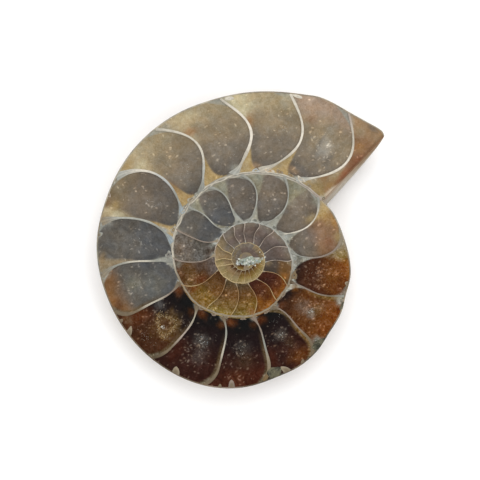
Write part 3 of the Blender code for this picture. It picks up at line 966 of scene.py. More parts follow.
# Kinds of speck: places to a metre, size against a place's, share of the places that hold one,
# the way they lie in degrees, length against width, and strength
SPECK_KINDS = (
    (2300.0, 0.38, 0.44, 0.0, 1.6, 0.8), (1700.0, 0.34, 0.36, 40.0, 2.0, 0.8),
    (1900.0, 0.26, 0.40, 62.0, 2.4, 0.75), (1800.0, 0.26, 0.36, 118.0, 2.2, 0.75),
    (1250.0, 0.16, 0.22, 10.0, 3.0, 0.75), (1000.0, 0.18, 0.12, 80.0, 1.8, 0.85),
)
for scale, size, share, angle, stretch, strength in SPECK_KINDS:
    way = stretched(tree, rough, angle, stretch)
    spot, kind = specks(tree, way, scale, size, number(tree, "MULTIPLY", crowd, share))
    flaw = brightened(tree, base, 1.8, kind, (0.086, 0.060, 0.037, 1), (0.068, 0.064, 0.052, 1))
    base = mix(tree, number(tree, "MULTIPLY", spot, strength), base, flaw)
tree.links.new(base, shader.inputs["Base Color"])
relief = number(tree, "MULTIPLY_ADD", mottle, 0.6, number(tree, "MULTIPLY", grain, 0.4))
roughen(tree, shader, relief, 0.12)
chamber_fill.data.materials.append(calcite)
lay_out(chamber_fill)
hand_in(chamber_fill)

# ---------------------------------------------------------------------------------------------
# The septa: the curved walls between the chambers, thin shell lined with cream calcite, cut
# across and polished. They stand a hair proud of the softer fill, thin out to grey at both ends
# and flare into the wall they spring from.
# ---------------------------------------------------------------------------------------------
# Septa from the mouth inwards: how many alike; then at the inner wall, low, in the middle, high
# and at the rim the width in mm and the tone; and how far the foot and the rim end lean back
SEPTUM_STATIONS = (0.0, 0.16, 0.45, 0.74, 1.0)
SEPTUM_RUNS = (
    (1, (1.00, 0.44, 0.48, 0.42, 0.40), ("pearl", "cream", "bone", "shell", "blush"), 0.0, 0.0),
    (1, (1.20, 0.50, 0.46, 0.42, 0.60), ("shell", "shell", "bone", "cream", "cream"), 0.6, 0.0),
    (1, (1.50, 0.66, 0.56, 0.46, 0.50), ("pearl", "shell", "bone", "bone", "shell"), 0.8, -0.3),
    (1, (1.20, 0.52, 0.44, 0.38, 0.70), ("mist", "pearl", "cream", "cream", "shell"), 0.3, -0.3),
    (1, (1.10, 0.46, 0.42, 0.44, 1.50), ("sky", "mist", "frost", "bone", "pearl"), 0.2, -0.3),
    (1, (1.20, 0.44, 0.40, 0.36, 1.70), ("sky", "mist", "pearl", "pearl", "taupe"), 0.0, 0.2),
    (1, (0.90, 0.38, 0.34, 0.36, 1.20), ("mist", "mist", "cream", "mist", "taupe"), 0.0, 0.3),
    (1, (0.70, 0.34, 0.36, 0.50, 0.80), ("hazel", "fog", "shell", "hazel", "hazel"), 0.0, 0.0),
    (1, (0.80, 0.36, 0.34, 0.46, 0.80), ("hazel", "hay", "blush", "hazel", "drab"), 0.2, -0.5),
    (1, (0.70, 0.36, 0.34, 0.44, 0.80), ("hazel", "mist", "shell", "hazel", "hazel"), 0.2, -0.5),
    (1, (0.90, 0.34, 0.32, 0.62, 0.80), ("fog", "fog", "mist", "taupe", "ochre"), 0.2, -0.3),
    (1, (0.80, 0.30, 0.28, 0.50, 0.80), ("hazel", "fog", "fog", "hazel", "hazel"), 0.0, 0.6),
    (1, (0.80, 0.28, 0.26, 0.30, 0.50), ("drab", "fog", "fog", "hazel", "mist"), 0.0, -0.6),
    (1, (0.90, 0.28, 0.28, 0.36, 0.70), ("mist", "mist", "fog", "fog", "taupe"), 0.0, -0.4),
    (1, (0.90, 0.28, 0.28, 0.28, 0.60), ("mist", "cream", "bone", "shell", "mist"), 0.3, 0.0),
    (4, (0.90, 0.26, 0.22, 0.24, 0.60), ("mist", "mist", "pearl", "mist", "mist"), 0.3, 0.0),
    (2, (0.50, 0.22, 0.22, 0.24, 0.40), ("taupe", "fog", "fog", "fog", "fog"), 0.0, 0.0),
    (6, (0.24, 0.13, 0.12, 0.13, 0.20), ("taupe", "buff", "buff", "parchment", "buff"), 0.0, 0.0),
    (7, (0.24, 0.13, 0.11, 0.13, 0.20), ("mist", "blush", "fog", "blush", "blush"), 0.0, 0.0),
    (3, (0.20, 0.14, 0.13, 0.14, 0.20), ("parchment",) * 5, 0.0, 0.0),
    (99, (0.14, 0.10, 0.09, 0.09, 0.10), ("taupe", "taupe", "buff", "parchment", "parchment"), 0.0, 0.0),
)


def between_walls(x, y, turn, spare=0.0):
    """Points near a turn, drawn in so that they stay between the whorl's inner and outer walls."""
    east, north = x - COIL_CENTRE[0], y - COIL_CENTRE[1]
    angle = np.degrees(np.arctan2(north, east))
    turn_here = angle + 360.0 * np.round((turn - angle) / 360.0)
    radius = np.hypot(east, north)
    lip = np.where(turn_here < JOINT_TURN, 0.9 * LIP_WIDTH, 0.0)
    kept = np.minimum(radius, coil_radius(turn_here) - lip + spare)
    kept = np.maximum(kept, coil_radius(turn_here + 360.0) - 0.1 * MM)
    return COIL_CENTRE[0] + east / radius * kept, COIL_CENTRE[1] + north / radius * kept


SLOPE_STEP = 0.002  # Share of a septum over which its direction is taken
WIDE_END = 0.62  # A septum wider than this, in mm, is streaked


def septum_parts(index):
    """Where a septum's vertices go and their colours: across it by u, out to the rim by v."""
    widths, tones, foot_lean, rim_lean = run_at(SEPTUM_RUNS, index)

    def place(u, v):
        v = inside_lip(wall_turn(index, v), v)
        turn = wall_turn(index, v)
        x, y = face_place(turn, v)
        x1, y1 = face_place(wall_turn(index, v + SLOPE_STEP), v + SLOPE_STEP)
        x0, y0 = face_place(wall_turn(index, v - SLOPE_STEP), v - SLOPE_STEP)
        length = np.hypot(x1 - x0, y1 - y0)
        side = 2.0 * u - 1.0
        width = np.interp(v, SEPTUM_STATIONS, widths)
        foot = ramp(v, 0.07, 0.0) - 0.6 * ramp(v, 0.02, 0.12) * ramp(v, 0.24, 0.12)
        width = width + 0.5 * (widths[0] - widths[1]) * foot
        width *= 1.0 + 0.08 * np.sin(v * 23.0 + index)
        lean = foot_lean * np.maximum(width - widths[1], 0.0) * ramp(v, 0.2, 0.1)
        lean = lean + rim_lean * np.maximum(width - widths[3], 0.0) * ramp(v, 0.74, 0.9)
        shift = 0.5 * (side * width + lean) * MM
        x, y = between_walls(x - (y1 - y0) / length * shift, y + (x1 - x0) / length * shift, turn)
        return np.column_stack((x, y, FACE - 0.012 * MM * side**2))

    def colour(u, v, points):
        side = 2.0 * u - 1.0
        made = np.tile(mineral(tones[0]), (len(u), 1))
        for start, end, tone in zip(SEPTUM_STATIONS, SEPTUM_STATIONS[1:], tones[1:]):
            made = over(made, mineral(tone), ramp(v, start + 0.02, end))
        # Wide ends are streaked grey, with the thin bright wall down their middle.
        wide = np.interp(v, SEPTUM_STATIONS, widths) > WIDE_END
        made = np.where(wide[:, None], made * (0.90 + 0.14 * np.cos(side * 7.0))[:, None], made)
        return made * (1.0 - 0.16 * np.abs(side)[:, None] ** 3)

    return place, colour


SEPTA_SHOWN = 46  # Closer in the walls are too fine to see
LONG_SEPTA = 21  # These need more rows than the small ones
SEPTUM_COLUMNS, LONG_ROWS, SHORT_ROWS = 8, 70, 36
SHELL_DEPTH = 0.12 * MM
walls = []
for index in range(SEPTA_SHOWN):
    place, colour = septum_parts(index)
    rows = LONG_ROWS if index < LONG_SEPTA else SHORT_ROWS
    walls.append(slab(f"septum_{index}", SEPTUM_COLUMNS, rows, place, SHELL_DEPTH, colour))
septum_piece = join("septa", walls)

shell_line, tree, shader = finish("polished_shell_wall", 0.34, 0.35)
tint = stored(tree, "tint")
base, mottle = mottled(tree, tint, 1500.0, 0.7)
tree.links.new(base, shader.inputs["Base Color"])
roughen(tree, shader, mottle, 0.2)
septum_piece.data.materials.append(shell_line)
lay_out(septum_piece)
hand_in(septum_piece)

# ---------------------------------------------------------------------------------------------
# The spiral wall: the outer shell of the inner whorls, cut across where the next whorl wraps
# over it. Its two layers run side by side, braided at the upper left, with grey calcite between.
# ---------------------------------------------------------------------------------------------
WALL_END = 1400.0
STRIP_COLUMNS, BED_ROWS, LAYER_ROWS = 4, 1100, 1500
BRAID_START, BRAID_STEP = 456.0, 11.0  # Where the layers first cross, and how far apart, in degrees
# Along the wall: turn, how far it lies off the coil's line, gap between the two layers and width
# of each, in mm
WALL_STAGES = (
    (398, 0.05, 0.26, 0.26), (415, -0.1, 0.40, 0.22), (448, 0.0, 0.42, 0.21), (462, 0.1, 0.50, 0.24),
    (508, 0.0, 0.46, 0.24), (522, -0.05, 0.20, 0.26), (545, -0.1, 0.10, 0.26), (562, -0.3, 0.08, 0.25),
    (580, -0.35, 0.08, 0.25), (600, -0.35, 0.08, 0.25), (640, -0.35, 0.10, 0.25), (670, -0.2, 0.10, 0.24),
    (700, -0.1, 0.14, 0.22), (760, 0.0, 0.05, 0.18), (820, 0.05, 0.04, 0.17), (870, 0.0, 0.03, 0.15),
    (930, -0.1, 0.03, 0.15), (1000, -0.15, 0.03, 0.13), (1060, -0.1, 0.02, 0.12), (1400, 0.0, 0.0, 0.08),
)
WALL_TONES = (
    (398, "blush"), (420, "shell"), (540, "shell"), (556, "taupe"), (700, "taupe"), (722, "pearl"),
    (760, "pearl"), (846, "pearl"), (872, "blush"), (912, "parchment"), (1000, "parchment"), (1400, "khaki"),
)


def wall_stage(turn, column):
    """One column of WALL_STAGES, blended along the wall."""
    return np.interp(turn, [stage[0] for stage in WALL_STAGES], [stage[column] for stage in WALL_STAGES])


def wall_gap(turn):
    """Gap between the wall's two layers, in mm."""
    return wall_stage(turn, 2)


def wall_width(turn):
    """Width of each layer, in mm."""
    return wall_stage(turn, 3)


def wall_strip(name, centre, width, depth, bright, rows):
    """A strip along the coil: its centre's offset and its width in mm by turn; how bright it is."""
    def place(u, v):
        turn = JOINT_TURN + (WALL_END - JOINT_TURN) * v
        side = 2.0 * u - 1.0
        radius = coil_radius(turn) + MM * (centre(turn) + 0.5 * side * width(turn))
        height = FACE - depth * MM - 0.015 * MM * side**2
        return np.column_stack((*polar_place(turn, radius), height))

    def colour(u, v, points):
        turn = JOINT_TURN + (WALL_END - JOINT_TURN) * v
        made = along_coil(WALL_TONES, turn) * (bright + 0.14 * cloud(points, 1.3, 3.0 + bright)[:, None])
        return made * (1.0 - 0.14 * np.abs(2.0 * u - 1.0)[:, None] ** 3)

    return slab(name, STRIP_COLUMNS, rows, place, SHELL_DEPTH, colour)


def braid(turn):
    """From 1 to -1 as the two layers cross over each other."""
    crossing = np.cos(math.pi * (turn - BRAID_START) / BRAID_STEP)
    return 1.0 + (crossing - 1.0) * ramp(turn, 452.0, 460.0) * ramp(turn, 520.0, 510.0)


def jitter(turn):
    """How far the wall's middle lies off the coil's line, a little unsteady."""
    return wall_stage(turn, 1) + 0.05 * np.sin(turn * 0.23) + 0.03 * np.sin(turn * 0.71 + 1.0)


def outer_layer(turn):
    """How far the outer layer's middle lies off the coil's line."""
    return jitter(turn) + 0.5 * wall_gap(turn) * braid(turn)


def inner_layer(turn):
    """How far the inner layer's middle lies off the coil's line."""
    return jitter(turn) + 0.03 * np.sin(turn * 0.37) - 0.5 * wall_gap(turn) * braid(turn)


def between(turn):
    """Width of the calcite between and under the two layers."""
    return wall_gap(turn) + 1.3 * wall_width(turn)


strips = [
    wall_strip("wall_bed", jitter, between, 0.02, 0.52, BED_ROWS),
    wall_strip("wall_outer", outer_layer, wall_width, 0.0, 1.0, LAYER_ROWS),
    wall_strip("wall_inner", inner_layer, wall_width, 0.004, 0.86, LAYER_ROWS),
]
spiral_wall = join("spiral_wall", strips)
spiral_wall.data.materials.append(shell_line)
lay_out(spiral_wall)
hand_in(spiral_wall)

# ---------------------------------------------------------------------------------------------
# Cells, lobes and bumps on the spiral wall: where the folded edges of the septa and the old
# siphon meet the wall, the saw left small rings of white shell round holes filled with ochre.
# ---------------------------------------------------------------------------------------------
# Turn, share out from the inner wall, half length along the wall and half width in mm, how deep
# the middle is in mm, the ring's tone and the middle's
CELLS = (
    (75.0, 0.030, 1.15, 0.48, 0.06, "cream", "amberine"), (68.5, 0.030, 0.80, 0.40, 0.05, "taupe", "ochre"),
    (83.0, 0.030, 0.80, 0.38, 0.05, "frost", "mist"), (61.5, 0.030, 0.70, 0.36, 0.05, "taupe", "ochre"),
    (55.0, 0.040, 0.95, 0.46, 0.08, "cream", "ochre"), (49.0, 0.030, 0.50, 0.30, 0.06, "taupe", "hazel"),
    (132.2, 0.024, 1.00, 0.56, 0.05, "hay", "hazel"), (126.6, 0.020, 0.70, 0.36, 0.04, "mist", "olive"),
    (138.2, 0.022, 0.80, 0.44, 0.05, "mist", "hazel"), (143.6, 0.020, 0.60, 0.34, 0.04, "hay", "olive"),
    (157.7, 0.032, 0.86, 0.50, 0.05, "hay", "hazel"), (176.7, 0.050, 0.86, 0.60, 0.06, "mist", "dusk"),
    (460.3, 0.045, 0.46, 0.28, 0.05, "mist", "moss"), (435.4, 0.045, 0.46, 0.28, 0.05, "mist", "moss"),
    (407.4, 0.045, 0.46, 0.28, 0.05, "mist", "moss"), (382.6, 0.045, 0.46, 0.28, 0.05, "mist", "moss"),
    (357.1, 0.045, 0.46, 0.28, 0.05, "mist", "hazel"), (480.0, 0.045, 0.46, 0.28, 0.05, "mist", "moss"),
    (240.0, 0.006, 0.62, 0.26, 0.0, "fog", "hazel"), (268.0, 0.006, 0.60, 0.26, 0.0, "fog", "hazel"),
    (292.0, 0.006, 0.64, 0.28, 0.0, "fog", "hazel"), (317.8, 0.008, 0.72, 0.34, 0.0, "fog", "hazel"),
    (341.7, 0.040, 0.90, 0.66, 0.05, "hazel", "ochre"), (228.0, 0.006, 0.46, 0.24, 0.0, "fog", "hazel"),
    (252.0, 0.003, 0.44, 0.20, 0.0, "taupe", "hazel"), (280.0, 0.003, 0.44, 0.20, 0.0, "taupe", "hazel"),
    (304.0, 0.005, 0.48, 0.22, 0.0, "taupe", "hazel"), (329.0, 0.008, 0.52, 0.26, 0.0, "taupe", "hazel"),
    # A hole at the joint with the mouth
    (37.9, 0.028, 0.30, 0.42, 0.10, "taupe", "moss"),
)
PROUD = 0.004 * MM  # How far cells and teeth stand above the face
BUTTON_SPOKES, BUTTON_RINGS, BUTTON_DEPTH = 18, 6, 0.18 * MM


def beside(x, y, turn, outward, along):
    """The point that lies so far outwards and so far along the coil from another."""
    angle = math.radians(turn)
    return (
        x + outward * math.cos(angle) - along * math.sin(angle),
        y + outward * math.sin(angle) + along * math.cos(angle),
    )


def button(name, turn, across, along, outward, depth, ring, middle, wobble=0.20):
    """A small round of the face with a raised ring and a sunken or domed middle."""
    x, y = face_place(turn, across)

    def place(u, v):
        way = 2.0 * math.pi * u
        reach = v * (1.0 + wobble * np.sin(3.0 * way + turn) + 0.6 * wobble * np.sin(5.0 * way + 2.0 * turn))
        out_way, along_way = outward * MM * reach * np.cos(way), along * MM * reach * np.sin(way)
        height = -depth * MM * ramp(v, 0.50, 0.10) - 0.05 * MM * ramp(v, 0.84, 1.0)
        spots = between_walls(*beside(x, y, turn, out_way, along_way), turn, 0.8 * LIP_WIDTH)
        return np.column_stack((*spots, FACE + PROUD + height))

    def colour(u, v, points):
        made = np.tile(mineral(middle), (len(u), 1)) * (0.75 + 0.35 * ramp(v, 0.0, 0.5))[:, None]
        streaks = 0.75 + 0.25 * np.sin(2.0 * math.pi * u * 3.0 + turn)
        made = over(made, mineral(ring), ramp(v, 0.30, 0.62) * streaks)
        return made * (1.0 - 0.15 * ramp(v, 0.86, 1.0)[:, None])

    return slab(name, BUTTON_SPOKES, BUTTON_RINGS, place, BUTTON_DEPTH, colour)


cells = []
for index, cell in enumerate(CELLS):
    cells.append(button(f"cell_{index}", *cell))
wall_cells = join("wall_cells", cells)
wall_cells.data.materials.append(shell_line)
lay_out(wall_cells)
hand_in(wall_cells)

# ---------------------------------------------------------------------------------------------
# Teeth and tabs on the rim: where ribs of the shell's outer side are cut across, stubs of cream
# shell stand in from the rim, some curved like a horn.
# ---------------------------------------------------------------------------------------------
# Turn of the root, half width at the root, length inwards, lean along the rim in mm, tone
TEETH = (
    (206.4, 0.40, 0.7, -0.1, "hazel"), (212.4, 0.66, 1.35, -0.90, "taupe"),
    (238.6, 0.84, 1.35, -0.45, "taupe"), (258.8, 0.36, 0.7, 0.0, "hazel"),
    (264.0, 0.66, 1.60, -0.15, "fog"), (290.8, 0.80, 1.45, -0.85, "taupe"),
    (299.3, 0.46, 0.7, 0.3, "hazel"), (346.8, 0.46, 0.7, 0.0, "taupe"),
    (252.0, 0.26, 0.5, 0.1, "hazel"), (170.5, 0.60, 0.9, -0.4, "mist"),
    (186.0, 0.50, 1.0, 0.3, "mist"), (154.5, 0.4, 0.6, 0.3, "blush"),
)
ROOT_INSET = 0.16 * MM  # How far in from the rim a tooth has its root
TOOTH_COLUMNS, TOOTH_ROWS, TOOTH_DEPTH = 6, 8, 0.2 * MM


def tooth(name, turn, width, length, lean, tone):
    """A tapering stub from the rim inwards, its tip rounded and leaning along the rim."""
    x, y = polar_place(turn, coil_radius(turn) - ROOT_INSET)

    def place(u, v):
        side = 2.0 * u - 1.0
        half = width * MM * (1.0 - 0.36 * v**1.4) * np.sqrt(np.clip(1.0 - 0.98 * v**4, 0.0, 1.0))
        along = side * half + lean * MM * v**1.6
        height = FACE + PROUD - 0.03 * MM * side**2 - 0.02 * MM * v**4
        return np.column_stack((*beside(x, y, turn, -length * MM * v, along), height))

    def colour(u, v, points):
        side = np.abs(2.0 * u - 1.0)
        made = np.tile(mineral(tone), (len(u), 1))
        made = over(made, mineral("hazel"), 0.85 * ramp(side, 0.85, 0.25) * ramp(v, 0.80, 0.35))
        return made * (1.0 - 0.22 * side[:, None] ** 3) * (0.84 + 0.2 * ramp(v, 0.0, 0.5))[:, None]

    return slab(name, TOOTH_COLUMNS, TOOTH_ROWS, place, TOOTH_DEPTH, colour)


stubs = []
for index, stub in enumerate(TEETH):
    stubs.append(tooth(f"tooth_{index}", *stub))
# Two flat tabs of white shell lie along the rim beside the second and third septa.
TABS = ((72.2, 0.966, 1.15, 0.34, 0.0, "cream", "cream"), (95.6, 0.962, 1.0, 0.46, 0.0, "shell", "cream"))
for index, tab in enumerate(TABS):
    stubs.append(button(f"tab_{index}", *tab, wobble=0.06))
rim_teeth = join("rim_teeth", stubs)
rim_teeth.data.materials.append(shell_line)
lay_out(rim_teeth)
hand_in(rim_teeth)

# ---------------------------------------------------------------------------------------------
# Matrix: dark green rock that was left in the rim where the shell was broken before burial. It
# is rough, full of small glinting grains, and filled up to the polished face.
# ---------------------------------------------------------------------------------------------
# Turn, share, half length along the rim and half width in mm
MATRIX = ((334.5, 0.980, 1.0, 0.32), (310.8, 0.955, 1.8, 0.95), (284.4, 0.925, 1.6, 1.35))
MATRIX_SINK = -0.01  # In mm: less than none, so that its middle is a little domed

lumps = []
for index, (turn, across, along, outward) in enumerate(MATRIX):
    lumps.append(button(
        f"matrix_{index}", turn, across, along, outward, MATRIX_SINK, "moss", "moss", wobble=0.10,
    ))
matrix = join("rim_matrix", lumps)
rock, tree, shader = finish("green_matrix", 0.7, 0.25)
place = node(tree, "ShaderNodeTexCoord").outputs["Object"]
lumpy = noise(tree, place, 900.0, 4.0, 0.65)
glints = noise(tree, place, 2600.0, 2.0, 0.5)
base = mix(tree, fade(tree, lumpy, 0.35, 0.65), coat(38, 38, 28), coat(92, 88, 68))
base = mix(tree, fade(tree, glints, 0.62, 0.70, 0.0, 0.5), base, coat(160, 158, 138))
base, pitted = mottled(tree, base, 1500.0, 0.6)
tree.links.new(base, shader.inputs["Base Color"])
roughen(tree, shader, pitted, 0.3)
matrix.data.materials.append(rock)
lay_out(matrix)
hand_in(matrix)

# ---------------------------------------------------------------------------------------------
# Crystals in the fill: needles and grains of clear calcite cut through by the saw. They lie in
# loose clusters in the middle of the chambers; one chamber has a ring of golden ones.
# ---------------------------------------------------------------------------------------------
CRYSTAL_SEED = 5
# Clusters as turn and share out, number, spread along and out in mm, longest needle in mm, tones
CLUSTERS = (
    (242.4, 0.41, 12, 0.9, 1.0, 1.4, ("frost", "pearl", "sky")),
    (242.0, 0.50, 22, 1.7, 2.2, 0.7, ("stone", "dusk", "putty", "mist")),
    (268.7, 0.46, 14, 1.3, 1.6, 0.7, ("mist", "pearl", "dove")),
    (268.7, 0.50, 26, 1.9, 2.2, 0.5, ("stone", "dusk", "putty")),
    (295.2, 0.43, 8, 0.5, 0.6, 0.9, ("white", "frost", "pearl")),
    (294.9, 0.48, 26, 1.4, 1.7, 0.5, ("mist", "dusk", "putty")),
    (296.0, 0.20, 12, 1.6, 0.7, 0.45, ("mist", "dusk", "pearl")),
    (322.3, 0.56, 22, 0.5, 0.6, 0.8, ("white", "white", "frost", "pearl")),
    (322.3, 0.56, 26, 1.1, 1.3, 0.6, ("fog", "blush", "taupe")),
    (322.0, 0.60, 46, 2.4, 2.8, 0.5, ("tan", "rust", "ginger", "fog")),
    (348.0, 0.50, 80, 2.3, 3.2, 0.5, ("tan", "rust", "ginger", "fog", "fawn")),
    (218.0, 0.84, 34, 2.2, 1.2, 0.5, ("blush", "taupe", "fog", "mist")),
    (226.5, 0.30, 12, 1.0, 0.9, 0.9, ("mist", "fog", "dusk")),
    (226.0, 0.62, 16, 0.8, 1.6, 0.5, ("fog", "taupe", "dusk")),
    (193.0, 0.52, 9, 0.6, 0.8, 0.8, ("pearl", "mist")), (195.0, 0.35, 16, 2.0, 1.8, 0.6, ("mist", "dove")),
    (171.0, 0.40, 8, 0.8, 0.9, 0.9, ("frost", "pearl")), (174.0, 0.50, 10, 1.8, 2.2, 0.5, ("mist", "dove")),
    (147.0, 0.33, 7, 0.9, 0.9, 0.9, ("frost", "pearl")), (149.0, 0.42, 8, 0.6, 1.2, 0.7, ("frost", "mist")),
    (123.0, 0.38, 7, 0.8, 0.9, 0.9, ("pearl", "frost")), (126.0, 0.30, 8, 1.2, 1.4, 0.5, ("pearl", "mist")),
    (97.0, 0.25, 7, 0.8, 1.0, 0.7, ("pearl", "mist")), (101.0, 0.60, 4, 0.5, 0.6, 0.8, ("mist", "pearl")),
    (73.5, 0.55, 9, 0.9, 1.0, 0.9, ("pearl", "frost")), (75.0, 0.42, 9, 1.4, 1.6, 0.5, ("mist", "pearl")),
    (56.5, 0.44, 10, 0.7, 1.0, 0.7, ("pearl", "frost", "mist")),
    (60.0, 0.40, 44, 2.8, 2.8, 0.8, ("fawn", "rose", "blush")),
    (536.0, 0.50, 8, 1.0, 1.1, 0.35, ("mist", "dove")), (490.0, 0.60, 8, 1.0, 1.1, 0.4, ("mist", "pearl")),
    (610.0, 0.50, 10, 1.0, 1.2, 0.3, ("tan", "buff")), (640.0, 0.55, 10, 1.0, 1.0, 0.3, ("buff", "wheat")),
    (556.0, 0.50, 10, 1.0, 1.2, 0.3, ("dove", "biscuit")),
)


def copy_of(model, place, size, bearing, tone):
    """A copy of a crystal, with a mesh of its own."""
    copied = model.copy()
    copied.data = model.data.copy()
    bpy.context.collection.objects.link(copied)
    copied.location = place
    copied.rotation_euler = (0.0, 0.0, bearing)
    copied.scale = size
    store(copied, "tint", np.tile(mineral(tone), (len(copied.data.vertices), 1)))
    return copied


def join_copies(name, model, copies):
    """Makes one piece of a crystal's copies and removes the one they were copied from."""
    bpy.ops.object.select_all(action="DESELECT")
    for copied in copies:
        copied.select_set(True)
    bpy.context.view_layer.objects.active = copies[0]
    bpy.ops.object.transform_apply(location=True, rotation=True, scale=True)
    bpy.data.objects.remove(model, do_unlink=True)
    return join(name, copies)


# A sliver of clear calcite: a low lens of twenty facets, one long and one wide before it is copied
SLIVER_DEPTH, SLIVER_PROUD = 0.03 * MM, 0.012 * MM
SLIVER_PLACE = FACE - TILE_TOP - SLIVER_DEPTH + SLIVER_PROUD
bpy.ops.object.select_all(action="DESELECT")
bpy.ops.mesh.primitive_ico_sphere_add(subdivisions=1, radius=1.0)
sliver = bpy.context.object
bpy.ops.object.mode_set(mode="EDIT")
bpy.ops.mesh.select_all(action="SELECT")
bpy.ops.transform.resize(value=(0.5, 0.5, SLIVER_DEPTH), center_override=(0.0, 0.0, 0.0))
bpy.ops.object.mode_set(mode="OBJECT")

chance = random.Random(CRYSTAL_SEED)
slivers = []
for turn, across, amount, along, outward, longest, tones in CLUSTERS:
    x, y = face_place(turn, across)
    for count in range(amount):
        out_way, along_way = chance.gauss(0.0, 0.5 * outward) * MM, chance.gauss(0.0, 0.5 * along) * MM
        place = (*beside(x, y, turn, out_way, along_way), SLIVER_PLACE)
        length = (0.25 + 0.75 * chance.random() ** 2) * longest * MM
        size = (length, chance.uniform(0.05, 0.10) * MM, 1.0)
        slivers.append(copy_of(sliver, place, size, chance.uniform(0.0, math.pi), chance.choice(tones)))

# The golden ring: fibres that grew outwards round a pale core
RING_TURN, RING_SHARE = 219.6, 0.51
RING_FIBRES, RING_GRAINS = 260, 34
RING_RADIUS, RING_SPREAD = 1.95 * MM, 0.27 * MM
RING_ACROSS, RING_UP = 0.85, 1.05  # The ring is taller than wide
RING_TONES = ("ochre", "gold", "honey", "sand", "bronze", "amberine", "khaki")
CORE_TONES = ("white", "pearl", "mist", "fog", "bone")
CORE_SHIFT, CORE_SPREAD = (0.6, 0.4), (0.17, 0.15)  # Left and down in the ring, in mm
ring_x, ring_y = face_place(RING_TURN, RING_SHARE)
for count in range(RING_FIBRES):
    way = chance.uniform(0.0, 2.0 * math.pi)
    reach = chance.gauss(RING_RADIUS, RING_SPREAD) * (1.0 + 0.16 * math.sin(3.0 * way + 1.0))
    x, y = ring_x + RING_ACROSS * reach * math.cos(way), ring_y + RING_UP * reach * math.sin(way)
    size = (chance.uniform(0.2, 0.6) * MM, chance.uniform(0.10, 0.2) * MM, 1.0)
    bearing = way + chance.gauss(0.0, 0.5)
    slivers.append(copy_of(sliver, (x, y, SLIVER_PLACE), size, bearing, chance.choice(RING_TONES)))
for count in range(RING_GRAINS):
    x = ring_x - chance.gauss(CORE_SHIFT[0], CORE_SPREAD[0]) * MM
    y = ring_y + chance.gauss(-CORE_SHIFT[1], CORE_SPREAD[1]) * MM
    size = (chance.uniform(0.15, 0.45) * MM, chance.uniform(0.10, 0.18) * MM, 1.0)
    tone = chance.choice(CORE_TONES)
    slivers.append(copy_of(sliver, (x, y, SLIVER_PLACE), size, chance.uniform(0.0, math.pi), tone))
crystals = join_copies("fill_crystals", sliver, slivers)
crystals.data.materials.append(shell_line)
lay_out(crystals)
hand_in(crystals)

# ---------------------------------------------------------------------------------------------
# The cut across the mouth: a second saw cut through the last whorl, leaning out below. It shows
# the whorl's cross-section, pale calcite with streaks, inside a cream line of shell.
# ---------------------------------------------------------------------------------------------
MOUTH_PROUD, MOUTH_INSET = 0.03 * MM, 0.05 * MM
MOUTH_ABOVE_FLOOR, MOUTH_BELOW_FACE = 0.02 * MM, 0.03 * MM
MOUTH_COLUMNS, MOUTH_ROWS = 40, 70
# The way out of the stone, square to the cut
beak_lean = math.asin(UMBILICUS / float(coil_radius(BEAK_TURN)))
mouth_bearing = math.radians(BEAK_TURN) + beak_lean - 0.5 * math.pi
mouth_outwards = np.array((math.cos(mouth_bearing), math.sin(mouth_bearing)))


def mouth_place(u, v):
    """Where the cut's vertices go: down it by u, from the joint to the beak by v."""
    depth = thickness * (1.0 - (1.0 - u) ** 1.5)
    reach_out = section_reach(BEAK_TURN) - MOUTH_INSET
    reach_in = section_reach(JOINT_TURN) + MOUTH_INSET
    share = np.clip(1.0 - (depth / thickness) ** 2, 0.0, 1.0) ** (1.0 / FLANK_FULLNESS)
    span = reach_in + (reach_out - reach_in) * v
    points = section_place(np.full(len(u), BEAK_TURN), FLANK_RING + share * (span - FLANK_RING), depth)
    # The saw left the cut a little full in its middle.
    proud = MOUTH_PROUD * (1.0 + 4.0 * np.sin(math.pi * v) * ramp(u, 1.0, 0.4))
    points[:, :2] += proud[:, None] * mouth_outwards
    points[:, 2] = np.clip(points[:, 2], lowest.z + MOUTH_ABOVE_FLOOR, FACE - MOUTH_BELOW_FACE)
    return points


def mouth_colour(u, v, points):
    """Pale calcite in streaks, browner at the face and towards the beak."""
    made = np.tile(mineral("linen"), (len(u), 1))
    streak = np.sin(v * 46.0 + 5.0 * u) * 0.5 + np.sin(v * 117.0 + 9.0 * u) * 0.5
    made = over(made, mineral("taupe"), 0.35 * ramp(streak, -0.2, 0.9))
    made = over(made, mineral("mushroom"), ramp(u, 0.34, 0.10))
    made = over(made, mineral("amber"), 0.9 * ramp(v, 0.34, 0.74) * ramp(u, 0.55, 0.15))
    made = over(made, mineral("oat"), 0.8 * ramp(u, 0.65, 0.90))
    edge = np.minimum(v, 1.0 - v)
    made = over(made, mineral("bone"), 0.6 * ramp(edge, 0.045, 0.02) * ramp(u, 0.05, 0.12))
    # The edge with the polished face is as brown as the face.
    return over(made, mineral("copper"), ramp(u, 0.07, 0.02) * ramp(v, 0.15, 0.35))


mouth_cut = slab(
    "mouth_cut", MOUTH_COLUMNS, MOUTH_ROWS, mouth_place, SHELL_DEPTH, mouth_colour,
    way=(*-mouth_outwards, 0.0),
)
sawn, tree, shader = finish("sawn_calcite", 0.85, 0.03)
tint = stored(tree, "tint")
base = mottled(tree, tint, 1200.0, 0.6)[0]
tree.links.new(base, shader.inputs["Base Color"])
mouth_cut.data.materials.append(sawn)
hand_in(mouth_cut)

# ---------------------------------------------------------------------------------------------
# The first whorls and their druse: at the coil's centre the chambers are too small to tell apart
# and a slot in them is lined with white and grey-green crystals.
# ---------------------------------------------------------------------------------------------
BUD_SEED = 11
BUD_TONES = ("white", "sky", "frost", "hay", "verdigris", "pearl", "white", "slate")
LUMP_TONES = ("pearl", "verdigris", "white")
BUD_COUNT, LUMP_COUNT = 84, 14
